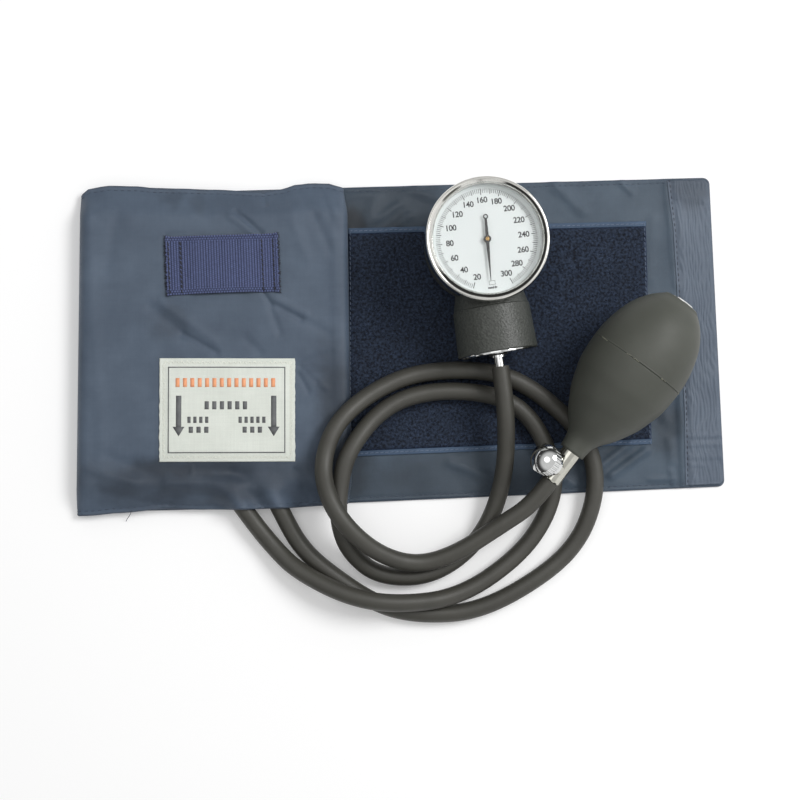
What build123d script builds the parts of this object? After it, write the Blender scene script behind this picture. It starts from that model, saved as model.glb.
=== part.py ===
from build123d import *
from math import cos, pi, radians, sin, tan
import os

os.makedirs("parts", exist_ok=True)

# An aneroid sphygmomanometer laid out on a table: an adult arm cuff whose left end is
# folded over twice, a round dial gauge and a squeeze bulb lying on the open panel, and
# the two rubber tubes that join them to the bladder inside the fold.
# Millimetres. +X runs along the open panel, +Z is up, and the table is Z = 0.
# The origin is the middle of the footprint.

# Cuff
cuff_width = 144.5
panel_right = 147.5
panel_corner = 3.0
cloth = 0.6
lining_inset = 1.0
bladder_sheet = 2.2
bladder_hem = 9.75
hook_pile, hook_end, hook_hem = 1.2, 9.0, 24.25
loop_pile, loop_gap = 1.6, 4.2
loop_right = 114.8
loop_low, loop_high = -51.3, 53.0
layer_gap = 0.3
fold_gap = 1.0
flap_length = 120.0
flap_spread = 0.7
flap_x = -85.7
flap_turn = -1.4
tuck_short = 14.0
splice = 5.0
strap_length, strap_width, strap_thick = 50.0, 26.6, 1.3
strap_x, strap_y = -80.3, 37.5
strap_end, strap_ramp, strap_rise = 10.0, 4.0, 1.0
label_size = (60.5, 46.3)
label_x, label_y, label_turn, label_thick = -80.25, -28.05, -2.2, 0.4

# Gauge: u runs to 3 o'clock, v to 12 o'clock and w out of the dial, whose face is w = 0
gauge_x, gauge_y, gauge_turn = 35.7, 40.7, 6.5
lying_gap = 0.3
plug_fit = 0.05
drum_radius, drum_step, drum_wall, drum_length = 18.0, 1.0, 1.8, 20.1
drum_shoulder, neck_radius, neck_waist = drum_radius - 0.8, drum_radius - 1.2, drum_radius - 2.8
rim_radius, rim_wall, rim_top = 25.6, 0.9, 4.2
rim_bore = rim_radius - rim_wall
dial_fit, dial_ledge, dial_thick, dial_hole = 0.1, 1.0, 0.6, 1.5
dial_radius = rim_bore - dial_fit
pan_flare, pan_top, pan_rear, pan_sheet = 0.6, -2.3, -28.0, 2.5
pan_radius = rim_radius + pan_flare
neck_reach = 2.3
drum_crease = -pan_radius - neck_reach
drum_end = drum_crease - drum_length
neck_waist_v, neck_top_v = drum_crease + 7.0, drum_crease + 19.5
pan_bore = dial_radius - dial_ledge
pan_floor = pan_rear + pan_sheet
bezel_wall, bezel_lip, bezel_gap = 1.7, 0.95, 0.1
bezel_bore = rim_radius + plug_fit
bezel_radius = bezel_bore + bezel_wall
bezel_skirt = pan_top + bezel_gap
lens_low = 2.8
lip_gap = 0.05
bezel_top = rim_top + lip_gap + bezel_lip
spacer_wall = 0.7
spacer_bore = dial_radius - spacer_wall
bezel_sight = spacer_bore + bezel_gap

# Gauge inlet, capsule and movement
drum_drop = drum_radius + drum_step
drum_bore = drum_radius - drum_wall
drum_floor, drum_cone, drum_throat = drum_crease - 7.5, drum_crease - 1.5, 6.0
cap_ledge, cap_inset, cap_proud = 0.1, 1.4, 0.8
cap_inner, cap_outer = drum_end + cap_inset, drum_end - cap_proud
cap_radius = drum_bore + cap_ledge
drum_mouth = cap_radius + plug_fit
washer_radius, washer_thick = 4.2, 0.4
nipple_shank, nipple_flange, nipple_barrel = 1.8, 3.4, 2.3
nipple_bore, nipple_length = 1.1, 17.4
nipple_tip = drum_end - nipple_length
shank_top = cap_inner + 1.6
tube_meets_nipple = nipple_tip + 11.0
capsule_rim, capsule_room, capsule_sheet = cap_inner + 4.0, 1.7, 0.35
capsule_radius = drum_bore - capsule_room
capsule_low, capsule_high = 1.9, 2.4
pin_radius, pin_foot_radius, pin_foot = 0.8, 2.2, 1.6
pin_hole = pin_radius + plug_fit
plate_thick = 1.0
plate_half, plate_low, plate_high = 11.5, -17.0, 12.0
upper_plate = -4.6
pillar_radius = 1.2
pillar_places = [(9.3, -14.8), (-9.3, -14.8), (0.0, 9.6)]
plate_screw, plate_screw_head, plate_screw_depth = 0.5, 1.1, 3.0
arbor_radius, sector_arbor_radius, pivot_fit = 0.5, 0.6, 0.05
sector_at = (-2.2, -11.03)
gear_module, pinion_teeth, sector_wheel_teeth, sector_teeth = 0.25, 10, 80, 13
mesh_angle = 78.72
addendum, dedendum = 0.18, 0.3
tooth_root, tooth_tip = 0.30, 0.13
sector_low, sector_high = -8.4, -7.6
pinion_low, pinion_high = -9.0, -7.0
rim_inner, spoke_width, sector_hub = 8.5, 1.1, 1.6
lever_sheet, lever_width, lever_clear = 0.8, 1.8, 0.6
lever_low = pin_radius + lever_clear - drum_drop
lever_high = lever_low + lever_sheet
tail_at, tail_radius, tail_past = (-0.133, -11.78), 0.6, 0.4
tail_low = -drum_drop - pin_radius - tail_past
pin_tip = tail_at[1] - tail_radius - plug_fit
spring_low, spring_high, spring_wire = -12.0, -11.4, 0.24
spring_gap, spring_turns = 0.03, 4
collet_radius, collet_reach = 1.4, 0.4
stud_radius, stud_at = 0.5, (0.0, 6.6)
spring_inner = collet_radius + spring_wire / 2 + 6 * spring_gap
spring_outer = stud_at[1] - stud_radius - spring_wire / 2 - spring_gap
needle_low, needle_high = 1.4, 1.65
needle_short, needle_tail, ring_radius, ring_hole = 6.3, 9.8, 1.1, 0.6
needle_lean = -4.1
needle_tip = needle_short - dial_radius
hub_radius, hub_neck, hub_low, hub_high, hub_proud = 1.6, 0.85, 1.2, 2.2, 0.15

# Back clip of the gauge
clip_sheet, clip_width = 1.2, 14.0
clip_foot_low, clip_bend, clip_tongue_low = -6.0, 12.5, -8.0
clip_lift = 0.7
clip_tongue = clip_lift - drum_drop - drum_radius
clip_screw_places = [-2.0, 7.0]
clip_screw, clip_screw_head, clip_screw_depth = 1.0, 1.9, 2.0

# Bulb: s runs along its axis from the neck
neck_x, neck_y = 72.5, -53.5
bulb_azimuth, bulb_tilt = 51.7, 7.4
bulb_length, bulb_end_wall, bulb_neck_wall = 82.5, 2.95, 1.95
bulb_wall, bulb_middle, bulb_half = 2.5, 47.5, 35.0
bulb_belly = 22.9
bulb_shape = [(3, 0.27), (8, 0.332), (15, 0.559), (20.5, 0.699), (25, 0.799), (31.5, 0.895), (37.2, 0.965)]
bulb_shape += [(bulb_middle, 1.0), (55, 0.987), (63.3, 0.917), (71, 0.795), (77.5, 0.607)]
bulb_outline = [(s, bulb_belly * share) for s, share in bulb_shape]

# Valves of the bulb
stub_radius, stub_length, stub_room = 4.0, 9.0, 0.5
neck_bore = stub_radius + plug_fit
neck_depth = stub_length + stub_room
bulb_neck_radius = neck_bore + bulb_neck_wall
valve_shoulder, valve_tail = 0.5, -15.8
valve_radius = stub_radius + valve_shoulder
valve_bore = 1.2
barb_root, barb_crest, barb_pitch, barb_count = 2.4, 2.7, 2.2, 3
tube_meets_valve = -16.0
ball_gap = 0.025
chamber_radius, chamber_floor, seat_low, seat_hole = 2.2, 3.5, 7.4, 1.0
check_ball_radius = 1.7
check_ball_at = seat_low - (check_ball_radius**2 - seat_hole**2) ** 0.5 - ball_gap
screw_s, screw_angle = -9.3, 48.0
boss_radius, boss_top = 4.0, 6.6
stem_fit, stem_radius, stem_seat, stem_seat_hole = 0.08, 1.5, 2.4, 1.0
stem_bore = stem_radius + stem_fit
stem_tip, stem_tip_radius, stem_cone, stem_top = 1.8, 0.4, 3.0, 13.2
vent_radius, vent_q = 0.6, 5.0
knob_collar, knob_band_low, knob_band_high = 5.6, 10.4, 15.2
knob_low = boss_top + lying_gap
knob_radius, knob_crown, knob_knurls, knurl_radius = 6.7, 18.6, 26, 0.5
knob_fit = 0.05
end_barrel, end_barrel_inner, end_brim, end_flange_thick = 4.6, 72.0, 1.4, 1.2
end_flange = end_barrel + end_brim
end_bore = end_barrel + plug_fit
bulb_end_radius = end_bore + bulb_end_wall
end_wall, cage_top, cage_hole, cage_slot = 1.0, 74.85, 1.2, 1.0
cage_radius = end_barrel - end_wall
end_chamber, end_seat, end_hole = 2.4, 79.0, 1.1
end_ball_radius = 1.8
end_ball_at = end_seat - (end_ball_radius**2 - end_hole**2) ** 0.5 - ball_gap

# Rubber tubes
tube_radius, tube_bore = 4.0, 2.0
tube_slip = 0.05
tunnel_clearance = 0.3
tunnel_length = 17.0

# Heights of the cuff's layers, from the table up
base_top = 2 * cloth
hook_low = base_top + layer_gap
tuck_low = hook_low + hook_pile
tuck_bladder = tuck_low + cloth
tuck_lining = tuck_bladder + bladder_sheet
flap_low = tuck_lining + cloth + fold_gap
flap_bladder = flap_low + cloth
flap_top = flap_bladder + bladder_sheet + cloth
fold_left = -flap_length / 2 + flap_top / 2
fold_right = flap_length / 2 - (flap_top - tuck_low) / 2
flap_width = cuff_width + flap_spread
tuck_length = flap_length - tuck_short
tuck_left = fold_right - tuck_length
loop_left = flap_x + flap_length / 2 + loop_gap
hook_size = (tuck_length - 2 * hook_end, cuff_width - 2 * hook_hem)
bladder_width = cuff_width - 2 * bladder_hem

turn = radians(flap_turn)
fold_section = Plane(
    origin=(flap_x, 0, 0), x_dir=(cos(turn), sin(turn), 0), z_dir=(sin(turn), -cos(turn), 0)
)
fold_floor = Plane(origin=(flap_x, 0, hook_low), x_dir=(cos(turn), sin(turn), 0), z_dir=(0, 0, 1))

# Frames of the gauge
patch_top = base_top + loop_pile
dial_height = patch_top + lying_gap + drum_radius + drum_drop
turn = radians(gauge_turn)
gauge = Plane(origin=(gauge_x, gauge_y, dial_height), x_dir=(cos(turn), sin(turn), 0))
dial_axis = Axis(gauge.origin, gauge.z_dir)
dial_section = Plane(origin=gauge.origin, x_dir=gauge.x_dir, z_dir=-gauge.y_dir)
clip_section = Plane(origin=gauge.origin, x_dir=gauge.y_dir, z_dir=gauge.x_dir)
drum_section = gauge.offset(-drum_drop)
drum_axis = Axis(drum_section.origin, drum_section.y_dir)

# Frames of the bulb and of its release screw
along = radians(bulb_azimuth)
tilt = radians(bulb_tilt)
bulb_rest = max(r * cos(tilt) - s * sin(tilt) for s, r in bulb_outline)
neck_at = (neck_x, neck_y, patch_top + lying_gap + bulb_rest)
bulb_dir = Vector(cos(tilt) * cos(along), cos(tilt) * sin(along), sin(tilt))
bulb_left = Vector(-sin(along), cos(along), 0)
bulb_up = bulb_dir.cross(bulb_left)
bulb_section = Plane(origin=neck_at, x_dir=bulb_dir, z_dir=-bulb_left)
bulb_axis = Axis(neck_at, bulb_dir)
screw_dir = bulb_left * cos(radians(screw_angle)) + bulb_up * sin(radians(screw_angle))
screw_at = Vector(*neck_at) + bulb_dir * screw_s
screw_section = Plane(origin=screw_at, x_dir=bulb_dir, z_dir=bulb_dir.cross(screw_dir))
screw_axis = Axis(screw_at, screw_dir)


def across_bulb(s):
    """The plane across the bulb's axis at s, looking away from the neck."""
    return Plane(origin=Vector(*neck_at) + bulb_dir * s, x_dir=bulb_up, z_dir=bulb_dir)


def across_screw(q):
    """The plane across the release screw at height q above the bulb's axis."""
    return Plane(origin=screw_at + screw_dir * q, x_dir=bulb_dir, z_dir=screw_dir)


def across_drum(v):
    """The plane across the drum at v, looking out of its open end."""
    return Plane(origin=drum_section.from_local_coords((0, v, 0)), x_dir=gauge.x_dir, z_dir=-gauge.y_dir)


# Routes of the tubes, from the bladder to the gauge and to the bulb
to_gauge = [
    (-79.8, -65.6, 5.6),
    (-72.0, -77.5, 5.4),
    (-62.9, -89.9, 4.4),
    (-52.7, -101.2, 7.6),
    (-30.6, -113.7, 13.4),
    (-8.9, -118.6, 13.0),
    (20.6, -117.2, 7.0),
    (48.8, -100.4, 4.1),
    (63.4, -82.0, 4.2),
    (67.9, -62.3, 7.0),
    (59.0, -38.5, 7.2),
    (43.5, -25.9, 7.1),
    (14.2, -22.3, 7.1),
    (-9.5, -28.4, 9.5),
    (-27.5, -48.0, 16.2),
    (-32.2, -65.0, 15.2),
    (-33.2, -80.0, 15.0),
    (-28.8, -94.0, 8.4),
    (-15.0, -106.6, 4.2),
    (9.7, -107.4, 4.1),
    (32.2, -91.7, 4.3),
    (43.4, -65.9, 9.5),
]
to_bulb = [
    (-62.3, -65.6, 5.6),
    (-57.0, -77.8, 5.4),
    (-50.2, -91.0, 4.2),
    (-39.9, -101.8, 4.1),
    (-17.1, -118.9, 4.1),
    (3.3, -124.6, 4.1),
    (30.1, -124.1, 4.1),
    (60.3, -109.3, 4.1),
    (77.8, -94.0, 4.1),
    (86.0, -73.0, 6.2),
    (85.0, -54.5, 7.2),
    (76.2, -39.6, 7.2),
    (56.3, -21.6, 7.1),
    (36.7, -14.0, 7.1),
    (5.3, -14.0, 7.1),
    (-17.0, -23.2, 11.5),
    (-33.2, -36.8, 16.4),
    (-39.6, -54.0, 17.8),
    (-37.8, -69.0, 23.2),
    (-29.4, -83.5, 23.0),
    (-15.0, -96.0, 15.0),
    (2.0, -101.6, 10.6),
    (20.0, -97.0, 11.6),
    (40.5, -84.6, 14.9),
]
last_run_gauge, last_run_bulb = 20.0, 13.0
for back in (last_run_gauge, 0.0):
    to_gauge.append(tuple(drum_section.from_local_coords((0, tube_meets_nipple - back, 0))))
for back in (last_run_bulb, 0.0):
    to_bulb.append(tuple(Vector(*neck_at) + bulb_dir * (tube_meets_valve - back)))


def bend_radii(route):
    """The largest arc that each corner's two runs allow, leaving a tenth of the shorter run."""
    radii = []
    for before, corner, after in zip(route, route[1:], route[2:]):
        run_in = Vector(*corner) - Vector(*before)
        run_out = Vector(*after) - Vector(*corner)
        turned = radians(run_in.get_angle(run_out))
        radii.append(0.45 * min(run_in.length, run_out.length) / tan(turned / 2))
    return radii


def tunnel_plane(route):
    """The plane across a tube at its start inside the bladder's pocket."""
    start, second = Vector(*route[0]), Vector(*route[1])
    level = Vector(second.X - start.X, second.Y - start.Y, 0)
    return Plane(origin=start - level.normalized(), z_dir=level)


def rolled_section(low, high, tucked, left_end, right_end):
    """One layer of cloth seen from its edge: base, left fold, flap, right fold, tucked end."""
    middle_left = (low + high) / 2
    middle_right = (high + tucked) / 2
    out_left, out_right = (high - low) / 2, (high - tucked) / 2
    in_left, in_right = out_left - cloth, out_right - cloth
    with BuildSketch(fold_section) as section:
        with BuildLine():
            Line((right_end, low), (fold_left, low))
            ThreePointArc((fold_left, low), (fold_left - out_left, middle_left), (fold_left, high))
            Line((fold_left, high), (fold_right, high))
            ThreePointArc((fold_right, high), (fold_right + out_right, middle_right), (fold_right, tucked))
            Line((fold_right, tucked), (left_end, tucked))
            Line((left_end, tucked), (left_end, tucked + cloth))
            Line((left_end, tucked + cloth), (fold_right, tucked + cloth))
            ThreePointArc(
                (fold_right, tucked + cloth),
                (fold_right + in_right, middle_right),
                (fold_right, high - cloth),
            )
            Line((fold_right, high - cloth), (fold_left, high - cloth))
            ThreePointArc(
                (fold_left, high - cloth),
                (fold_left - in_left, middle_left),
                (fold_left, low + cloth),
            )
            Line((fold_left, low + cloth), (right_end, low + cloth))
            Line((right_end, low + cloth), (right_end, low))
        make_face()
    return section.sketch


# Outer cloth of the cuff, with the mouths that the two tubes come out of
with BuildPart() as cuff_cover:
    extrude(rolled_section(0, flap_top, tuck_low, tuck_left, splice), amount=flap_width / 2, both=True)
    with BuildSketch(Plane.XY):
        with Locations(((flap_x + panel_right) / 2, 0)):
            Rectangle(panel_right - flap_x, cuff_width)
    extrude(amount=cloth)
    fillet(cuff_cover.edges().filter_by(Axis.Z).group_by(Axis.X)[-1], radius=panel_corner)
    for route in (to_gauge, to_bulb):
        with BuildSketch(tunnel_plane(route)):
            Circle(tube_radius + tunnel_clearance)
        extrude(amount=tunnel_length, mode=Mode.SUBTRACT)
cuff_cover.part.label = "cuff_cover"
export_step(cuff_cover.part, "parts/cuff_cover.step")

# Lining, one cloth inside the cover and a little narrower
with BuildPart() as cuff_lining:
    extrude(
        rolled_section(cloth, flap_bladder, tuck_lining, tuck_left, splice),
        amount=flap_width / 2 - lining_inset,
        both=True,
    )
    with BuildSketch(Plane.XY.offset(cloth)):
        with Locations(((flap_x + panel_right - lining_inset) / 2, 0)):
            Rectangle(panel_right - lining_inset - flap_x, cuff_width - 2 * lining_inset)
    extrude(amount=cloth)
    fillet(cuff_lining.edges().filter_by(Axis.Z).group_by(Axis.X)[-1], radius=panel_corner)
    for route in (to_gauge, to_bulb):
        with BuildSketch(tunnel_plane(route)):
            Circle(tube_radius + tunnel_clearance)
        extrude(amount=tunnel_length, mode=Mode.SUBTRACT)
cuff_lining.part.label = "cuff_lining"
export_step(cuff_lining.part, "parts/cuff_lining.step")

# Bladder between cover and lining, folded with the flap
bladder_in = (flap_bladder - tuck_lining) / 2
bladder_out = bladder_in + bladder_sheet
bladder_mid = (flap_bladder + tuck_lining) / 2
bladder_left = fold_left + flap_top / 2
with BuildPart() as bladder:
    with BuildSketch(fold_section):
        with BuildLine():
            Line((bladder_left, flap_bladder), (fold_right, flap_bladder))
            ThreePointArc(
                (fold_right, flap_bladder),
                (fold_right + bladder_in, bladder_mid),
                (fold_right, tuck_lining),
            )
            Line((fold_right, tuck_lining), (bladder_left, tuck_lining))
            Line((bladder_left, tuck_lining), (bladder_left, tuck_bladder))
            Line((bladder_left, tuck_bladder), (fold_right, tuck_bladder))
            ThreePointArc(
                (fold_right, tuck_bladder),
                (fold_right + bladder_out, bladder_mid),
                (fold_right, flap_top - cloth),
            )
            Line((fold_right, flap_top - cloth), (bladder_left, flap_top - cloth))
            Line((bladder_left, flap_top - cloth), (bladder_left, flap_bladder))
        make_face()
    extrude(amount=bladder_width / 2, both=True)
bladder.part.label = "bladder"
export_step(bladder.part, "parts/bladder.step")

# Hook fastener under the tucked end
with BuildPart() as hook_patch:
    with BuildSketch(fold_floor):
        Rectangle(*hook_size)
    extrude(amount=hook_pile)
hook_patch.part.label = "hook_patch"
export_step(hook_patch.part, "parts/hook_patch.step")

# Loop fastener on the open panel
with BuildPart() as loop_patch:
    with BuildSketch(Plane.XY.offset(base_top)):
        with Locations(((loop_left + loop_right) / 2, (loop_low + loop_high) / 2)):
            Rectangle(loop_right - loop_left, loop_high - loop_low)
    extrude(amount=loop_pile)
loop_patch.part.label = "loop_patch"
export_step(loop_patch.part, "parts/loop_patch.step")

# Webbing strap sewn down at its ends, raised between them for the gauge's clip
strap_section = Plane(origin=(strap_x, strap_y, flap_top), x_dir=(1, 0, 0), z_dir=(0, -1, 0))
strap_half = strap_length / 2
ramp_foot = strap_half - strap_end
ramp_head = ramp_foot - strap_ramp
with BuildPart() as webbing_strap:
    with BuildSketch(strap_section):
        with BuildLine():
            Polyline(
                (-strap_half, 0),
                (-ramp_foot, 0),
                (-ramp_head, strap_rise),
                (ramp_head, strap_rise),
                (ramp_foot, 0),
                (strap_half, 0),
                (strap_half, strap_thick),
                (ramp_foot, strap_thick),
                (ramp_head, strap_rise + strap_thick),
                (-ramp_head, strap_rise + strap_thick),
                (-ramp_foot, strap_thick),
                (-strap_half, strap_thick),
                close=True,
            )
        make_face()
    extrude(amount=strap_width / 2, both=True)
webbing_strap.part.label = "webbing_strap"
export_step(webbing_strap.part, "parts/webbing_strap.step")

# Woven label
label_plane = Plane(origin=(label_x, label_y, flap_top)).rotated((0, 0, label_turn))
with BuildPart() as cuff_label:
    with BuildSketch(label_plane):
        Rectangle(*label_size)
    extrude(amount=label_thick)
cuff_label.part.label = "cuff_label"
export_step(cuff_label.part, "parts/cuff_label.step")

# Cast gauge case: a round pan with a drum across its lower end, running in over the rear
with BuildPart() as gauge_case:
    with BuildSketch(dial_section):
        with BuildLine():
            Polyline(
                (0, pan_rear),
                (pan_radius - 4, pan_rear),
                (pan_radius - 2, pan_rear + 1.8),
                (pan_radius - 0.8, pan_rear + 6),
                (pan_radius, pan_top),
                (rim_radius, pan_top),
                (rim_radius, rim_top),
                (0, rim_top),
                close=True,
            )
        make_face()
    revolve(axis=dial_axis)
    with BuildSketch(drum_section):
        with BuildLine():
            ThreePointArc((0, neck_top_v), (neck_waist * 0.7, neck_top_v - 3.9), (neck_waist, neck_waist_v))
            Polyline(
                (neck_waist, neck_waist_v),
                (neck_radius, drum_crease + 0.4),
                (drum_shoulder, drum_crease),
                (drum_radius, drum_end + 0.4),
                (drum_radius - 0.4, drum_end),
                (0, drum_end),
                (0, neck_top_v),
            )
        make_face()
    revolve(axis=drum_axis)
    with BuildSketch(dial_section):
        with BuildLine():
            Polyline(
                (0, pan_floor),
                (pan_bore - 1.8, pan_floor),
                (pan_bore, pan_floor + 3.5),
                (pan_bore, -dial_thick),
                (rim_bore, -dial_thick),
                (rim_bore, rim_top),
                (0, rim_top),
                close=True,
            )
        make_face()
    revolve(axis=dial_axis, mode=Mode.SUBTRACT)
    with BuildSketch(drum_section):
        with BuildLine():
            Polyline(
                (0, drum_end),
                (drum_mouth, drum_end),
                (drum_mouth, cap_inner),
                (drum_bore, cap_inner),
                (drum_bore, drum_floor),
                (drum_throat, drum_cone),
                (pin_hole, drum_cone),
                (pin_hole, -pan_bore + 1),
                (0, -pan_bore + 1),
                close=True,
            )
        make_face()
    revolve(axis=drum_axis, mode=Mode.SUBTRACT)
    with BuildSketch(gauge.offset(pan_rear)):
        with Locations(*[(0, place) for place in clip_screw_places]):
            Circle(clip_screw)
    extrude(amount=clip_screw_depth, mode=Mode.SUBTRACT)
gauge_case.part.label = "gauge_case"
export_step(gauge_case.part, "parts/gauge_case.step")

# Chrome bezel that snaps over the rim and holds the lens
with BuildPart() as bezel:
    with BuildSketch(dial_section):
        with BuildLine():
            Polyline(
                (bezel_radius, bezel_top - 2),
                (bezel_radius, bezel_skirt),
                (bezel_bore, bezel_skirt),
                (bezel_bore, rim_top + lip_gap),
                (bezel_sight, rim_top + lip_gap),
                (bezel_sight, rim_top + lip_gap + 0.3),
                (bezel_sight + 0.7, bezel_top),
                (bezel_radius - 1.6, bezel_top),
            )
            RadiusArc((bezel_radius - 1.6, bezel_top), (bezel_radius, bezel_top - 2), 2.0)
        make_face()
    revolve(axis=dial_axis)
bezel.part.label = "bezel"
export_step(bezel.part, "parts/bezel.step")

# Clear lens
with BuildPart() as lens:
    with BuildSketch(gauge.offset(lens_low)):
        Circle(dial_radius)
    extrude(amount=rim_top - lens_low)
lens.part.label = "lens"
export_step(lens.part, "parts/lens.step")

# Ring that keeps the lens off the dial
with BuildPart() as spacer_ring:
    with BuildSketch(gauge):
        Circle(dial_radius)
        Circle(spacer_bore, mode=Mode.SUBTRACT)
    extrude(amount=lens_low)
spacer_ring.part.label = "spacer_ring"
export_step(spacer_ring.part, "parts/spacer_ring.step")

# Dial plate on the case's ledge
with BuildPart() as dial:
    with BuildSketch(gauge.offset(-dial_thick)):
        Circle(dial_radius)
        Circle(dial_hole, mode=Mode.SUBTRACT)
    extrude(amount=dial_thick)
dial.part.label = "dial"
export_step(dial.part, "parts/dial.step")

# Chrome cap in the mouth of the drum
with BuildPart() as drum_cap:
    with BuildSketch(across_drum(cap_inner)):
        Circle(cap_radius)
        Circle(nipple_shank, mode=Mode.SUBTRACT)
    extrude(amount=cap_inner - cap_outer)
    chamfer(drum_cap.faces().sort_by(drum_axis)[0].outer_wire().edges(), 0.4)
drum_cap.part.label = "drum_cap"
export_step(drum_cap.part, "parts/drum_cap.step")

# Washer and hose nipple of the gauge
flange_inner = cap_outer - washer_thick
flange_outer = flange_inner - 1.0
with BuildPart() as nipple_washer:
    with BuildSketch(across_drum(cap_outer)):
        Circle(washer_radius)
        Circle(nipple_shank, mode=Mode.SUBTRACT)
    extrude(amount=washer_thick)
nipple_washer.part.label = "nipple_washer"
export_step(nipple_washer.part, "parts/nipple_washer.step")

with BuildPart() as gauge_nipple:
    with BuildSketch(drum_section):
        with BuildLine():
            nipple_line = [(nipple_bore, shank_top), (nipple_shank, shank_top), (nipple_shank, flange_inner)]
            nipple_line += [(nipple_flange, flange_inner), (nipple_flange, flange_outer)]
            nipple_line += [(nipple_barrel, flange_outer), (nipple_barrel, tube_meets_nipple - 1)]
            for barb in range(4):
                crest = tube_meets_nipple - 1 - 2.5 * barb
                nipple_line += [(nipple_barrel + 0.3, crest), (nipple_barrel - 0.2, crest - 2.5)]
            nipple_line += [(nipple_bore, nipple_tip)]
            Polyline(*nipple_line, close=True)
        make_face()
    revolve(axis=drum_axis)
gauge_nipple.part.label = "gauge_nipple"
export_step(gauge_nipple.part, "parts/gauge_nipple.step")


def capsule_line(side):
    """Half section of a corrugated shell above (1) or below (-1) the capsule's rim."""
    inner = [(capsule_radius, 0.0), (capsule_radius - 1.1, 0.0), (capsule_radius - 1.9, capsule_low)]
    waves = int((capsule_radius - nipple_shank - 5.6) / 2) + 1
    for wave in range(waves):
        crest = capsule_radius - 3.1 - 2 * wave
        inner += [(crest, capsule_high), (crest - 1, capsule_low)]
    inner += [(nipple_shank + 1.5, capsule_high), (nipple_shank, capsule_high)]
    outer = [(r, height + capsule_sheet) for r, height in reversed(inner)]
    return [(r, capsule_rim + side * height) for r, height in inner + outer]


# Two corrugated shells that make the pressure capsule
with BuildPart() as capsule_lower:
    with BuildSketch(drum_section):
        with BuildLine():
            Polyline(*capsule_line(-1), close=True)
        make_face()
    revolve(axis=drum_axis)
capsule_lower.part.label = "capsule_lower"
export_step(capsule_lower.part, "parts/capsule_lower.step")

capsule_top = capsule_rim + capsule_high + capsule_sheet
with BuildPart() as capsule_upper:
    with BuildSketch(drum_section):
        with BuildLine():
            Polyline(*capsule_line(1), close=True)
        make_face()
    revolve(axis=drum_axis)
    with BuildSketch(across_drum(capsule_top)):
        Circle(nipple_shank)
    extrude(amount=capsule_sheet)
capsule_upper.part.label = "capsule_upper"
export_step(capsule_upper.part, "parts/capsule_upper.step")

# Push pin that the capsule lifts against the sector's tail
pin_base = capsule_top + 0.2
with BuildPart() as push_pin:
    with BuildSketch(across_drum(pin_tip)):
        Circle(pin_radius)
    extrude(amount=pin_tip - pin_base)
    with BuildSketch(across_drum(pin_base + pin_foot)):
        Circle(pin_foot_radius)
    extrude(amount=pin_foot)
push_pin.part.label = "push_pin"
export_step(push_pin.part, "parts/push_pin.step")


# Movement plates, pillars and screws
plate_middle = (plate_low + plate_high) / 2
with BuildPart() as movement_lower_plate:
    with BuildSketch(gauge.offset(pan_floor)):
        with Locations((0, plate_middle)):
            Rectangle(2 * plate_half, plate_high - plate_low)
        with Locations((0, 0)):
            Circle(arbor_radius + pivot_fit, mode=Mode.SUBTRACT)
        with Locations(sector_at):
            Circle(sector_arbor_radius + pivot_fit, mode=Mode.SUBTRACT)
    extrude(amount=plate_thick)
movement_lower_plate.part.label = "movement_lower_plate"
export_step(movement_lower_plate.part, "parts/movement_lower_plate.step")

with BuildPart() as movement_upper_plate:
    with BuildSketch(gauge.offset(upper_plate)):
        with Locations((0, plate_middle)):
            Rectangle(2 * plate_half, plate_high - plate_low)
        with Locations((0, 0)):
            Circle(arbor_radius + pivot_fit, mode=Mode.SUBTRACT)
        with Locations(sector_at):
            Circle(sector_arbor_radius + pivot_fit, mode=Mode.SUBTRACT)
        with Locations(*pillar_places):
            Circle(plate_screw, mode=Mode.SUBTRACT)
    extrude(amount=plate_thick)
movement_upper_plate.part.label = "movement_upper_plate"
export_step(movement_upper_plate.part, "parts/movement_upper_plate.step")

lower_plate_top = pan_floor + plate_thick
with BuildPart() as movement_pillars:
    with BuildSketch(gauge.offset(lower_plate_top)):
        with Locations(*pillar_places):
            Circle(pillar_radius)
    extrude(amount=upper_plate - lower_plate_top)
    with BuildSketch(gauge.offset(upper_plate)):
        with Locations(*pillar_places):
            Circle(plate_screw)
    extrude(amount=-plate_screw_depth, mode=Mode.SUBTRACT)
movement_pillars.part.label = "movement_pillars"
export_step(movement_pillars.part, "parts/movement_pillars.step")

upper_plate_top = upper_plate + plate_thick
with BuildPart() as movement_screws:
    with BuildSketch(gauge.offset(upper_plate_top)):
        with Locations(*pillar_places):
            Circle(plate_screw_head)
    extrude(amount=0.6)
    with BuildSketch(gauge.offset(upper_plate_top)):
        with Locations(*pillar_places):
            Circle(plate_screw)
    extrude(amount=-plate_thick - plate_screw_depth)
    with BuildSketch(gauge.offset(upper_plate_top + 0.6)):
        with Locations(*pillar_places):
            Rectangle(2 * plate_screw_head, 0.3)
    extrude(amount=-0.3, mode=Mode.SUBTRACT)
movement_screws.part.label = "movement_screws"
export_step(movement_screws.part, "parts/movement_screws.step")

# Sector: a toothed arc on an arbor, with a lever and a tail pin that the push pin lifts
sector_pitch = gear_module * sector_wheel_teeth / 2
pinion_pitch = gear_module * pinion_teeth / 2
circular_pitch = pi * gear_module
half_root, half_tip = circular_pitch * tooth_root / 2, circular_pitch * tooth_tip / 2
sector_step = 360 / sector_wheel_teeth
sector_first = mesh_angle + 1.5 * sector_step - sector_step * (sector_teeth - 1)
sector_last = mesh_angle + 1.5 * sector_step
rim_from = radians(sector_first - sector_step / 2)
rim_to = radians(sector_last + sector_step / 2)


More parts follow.
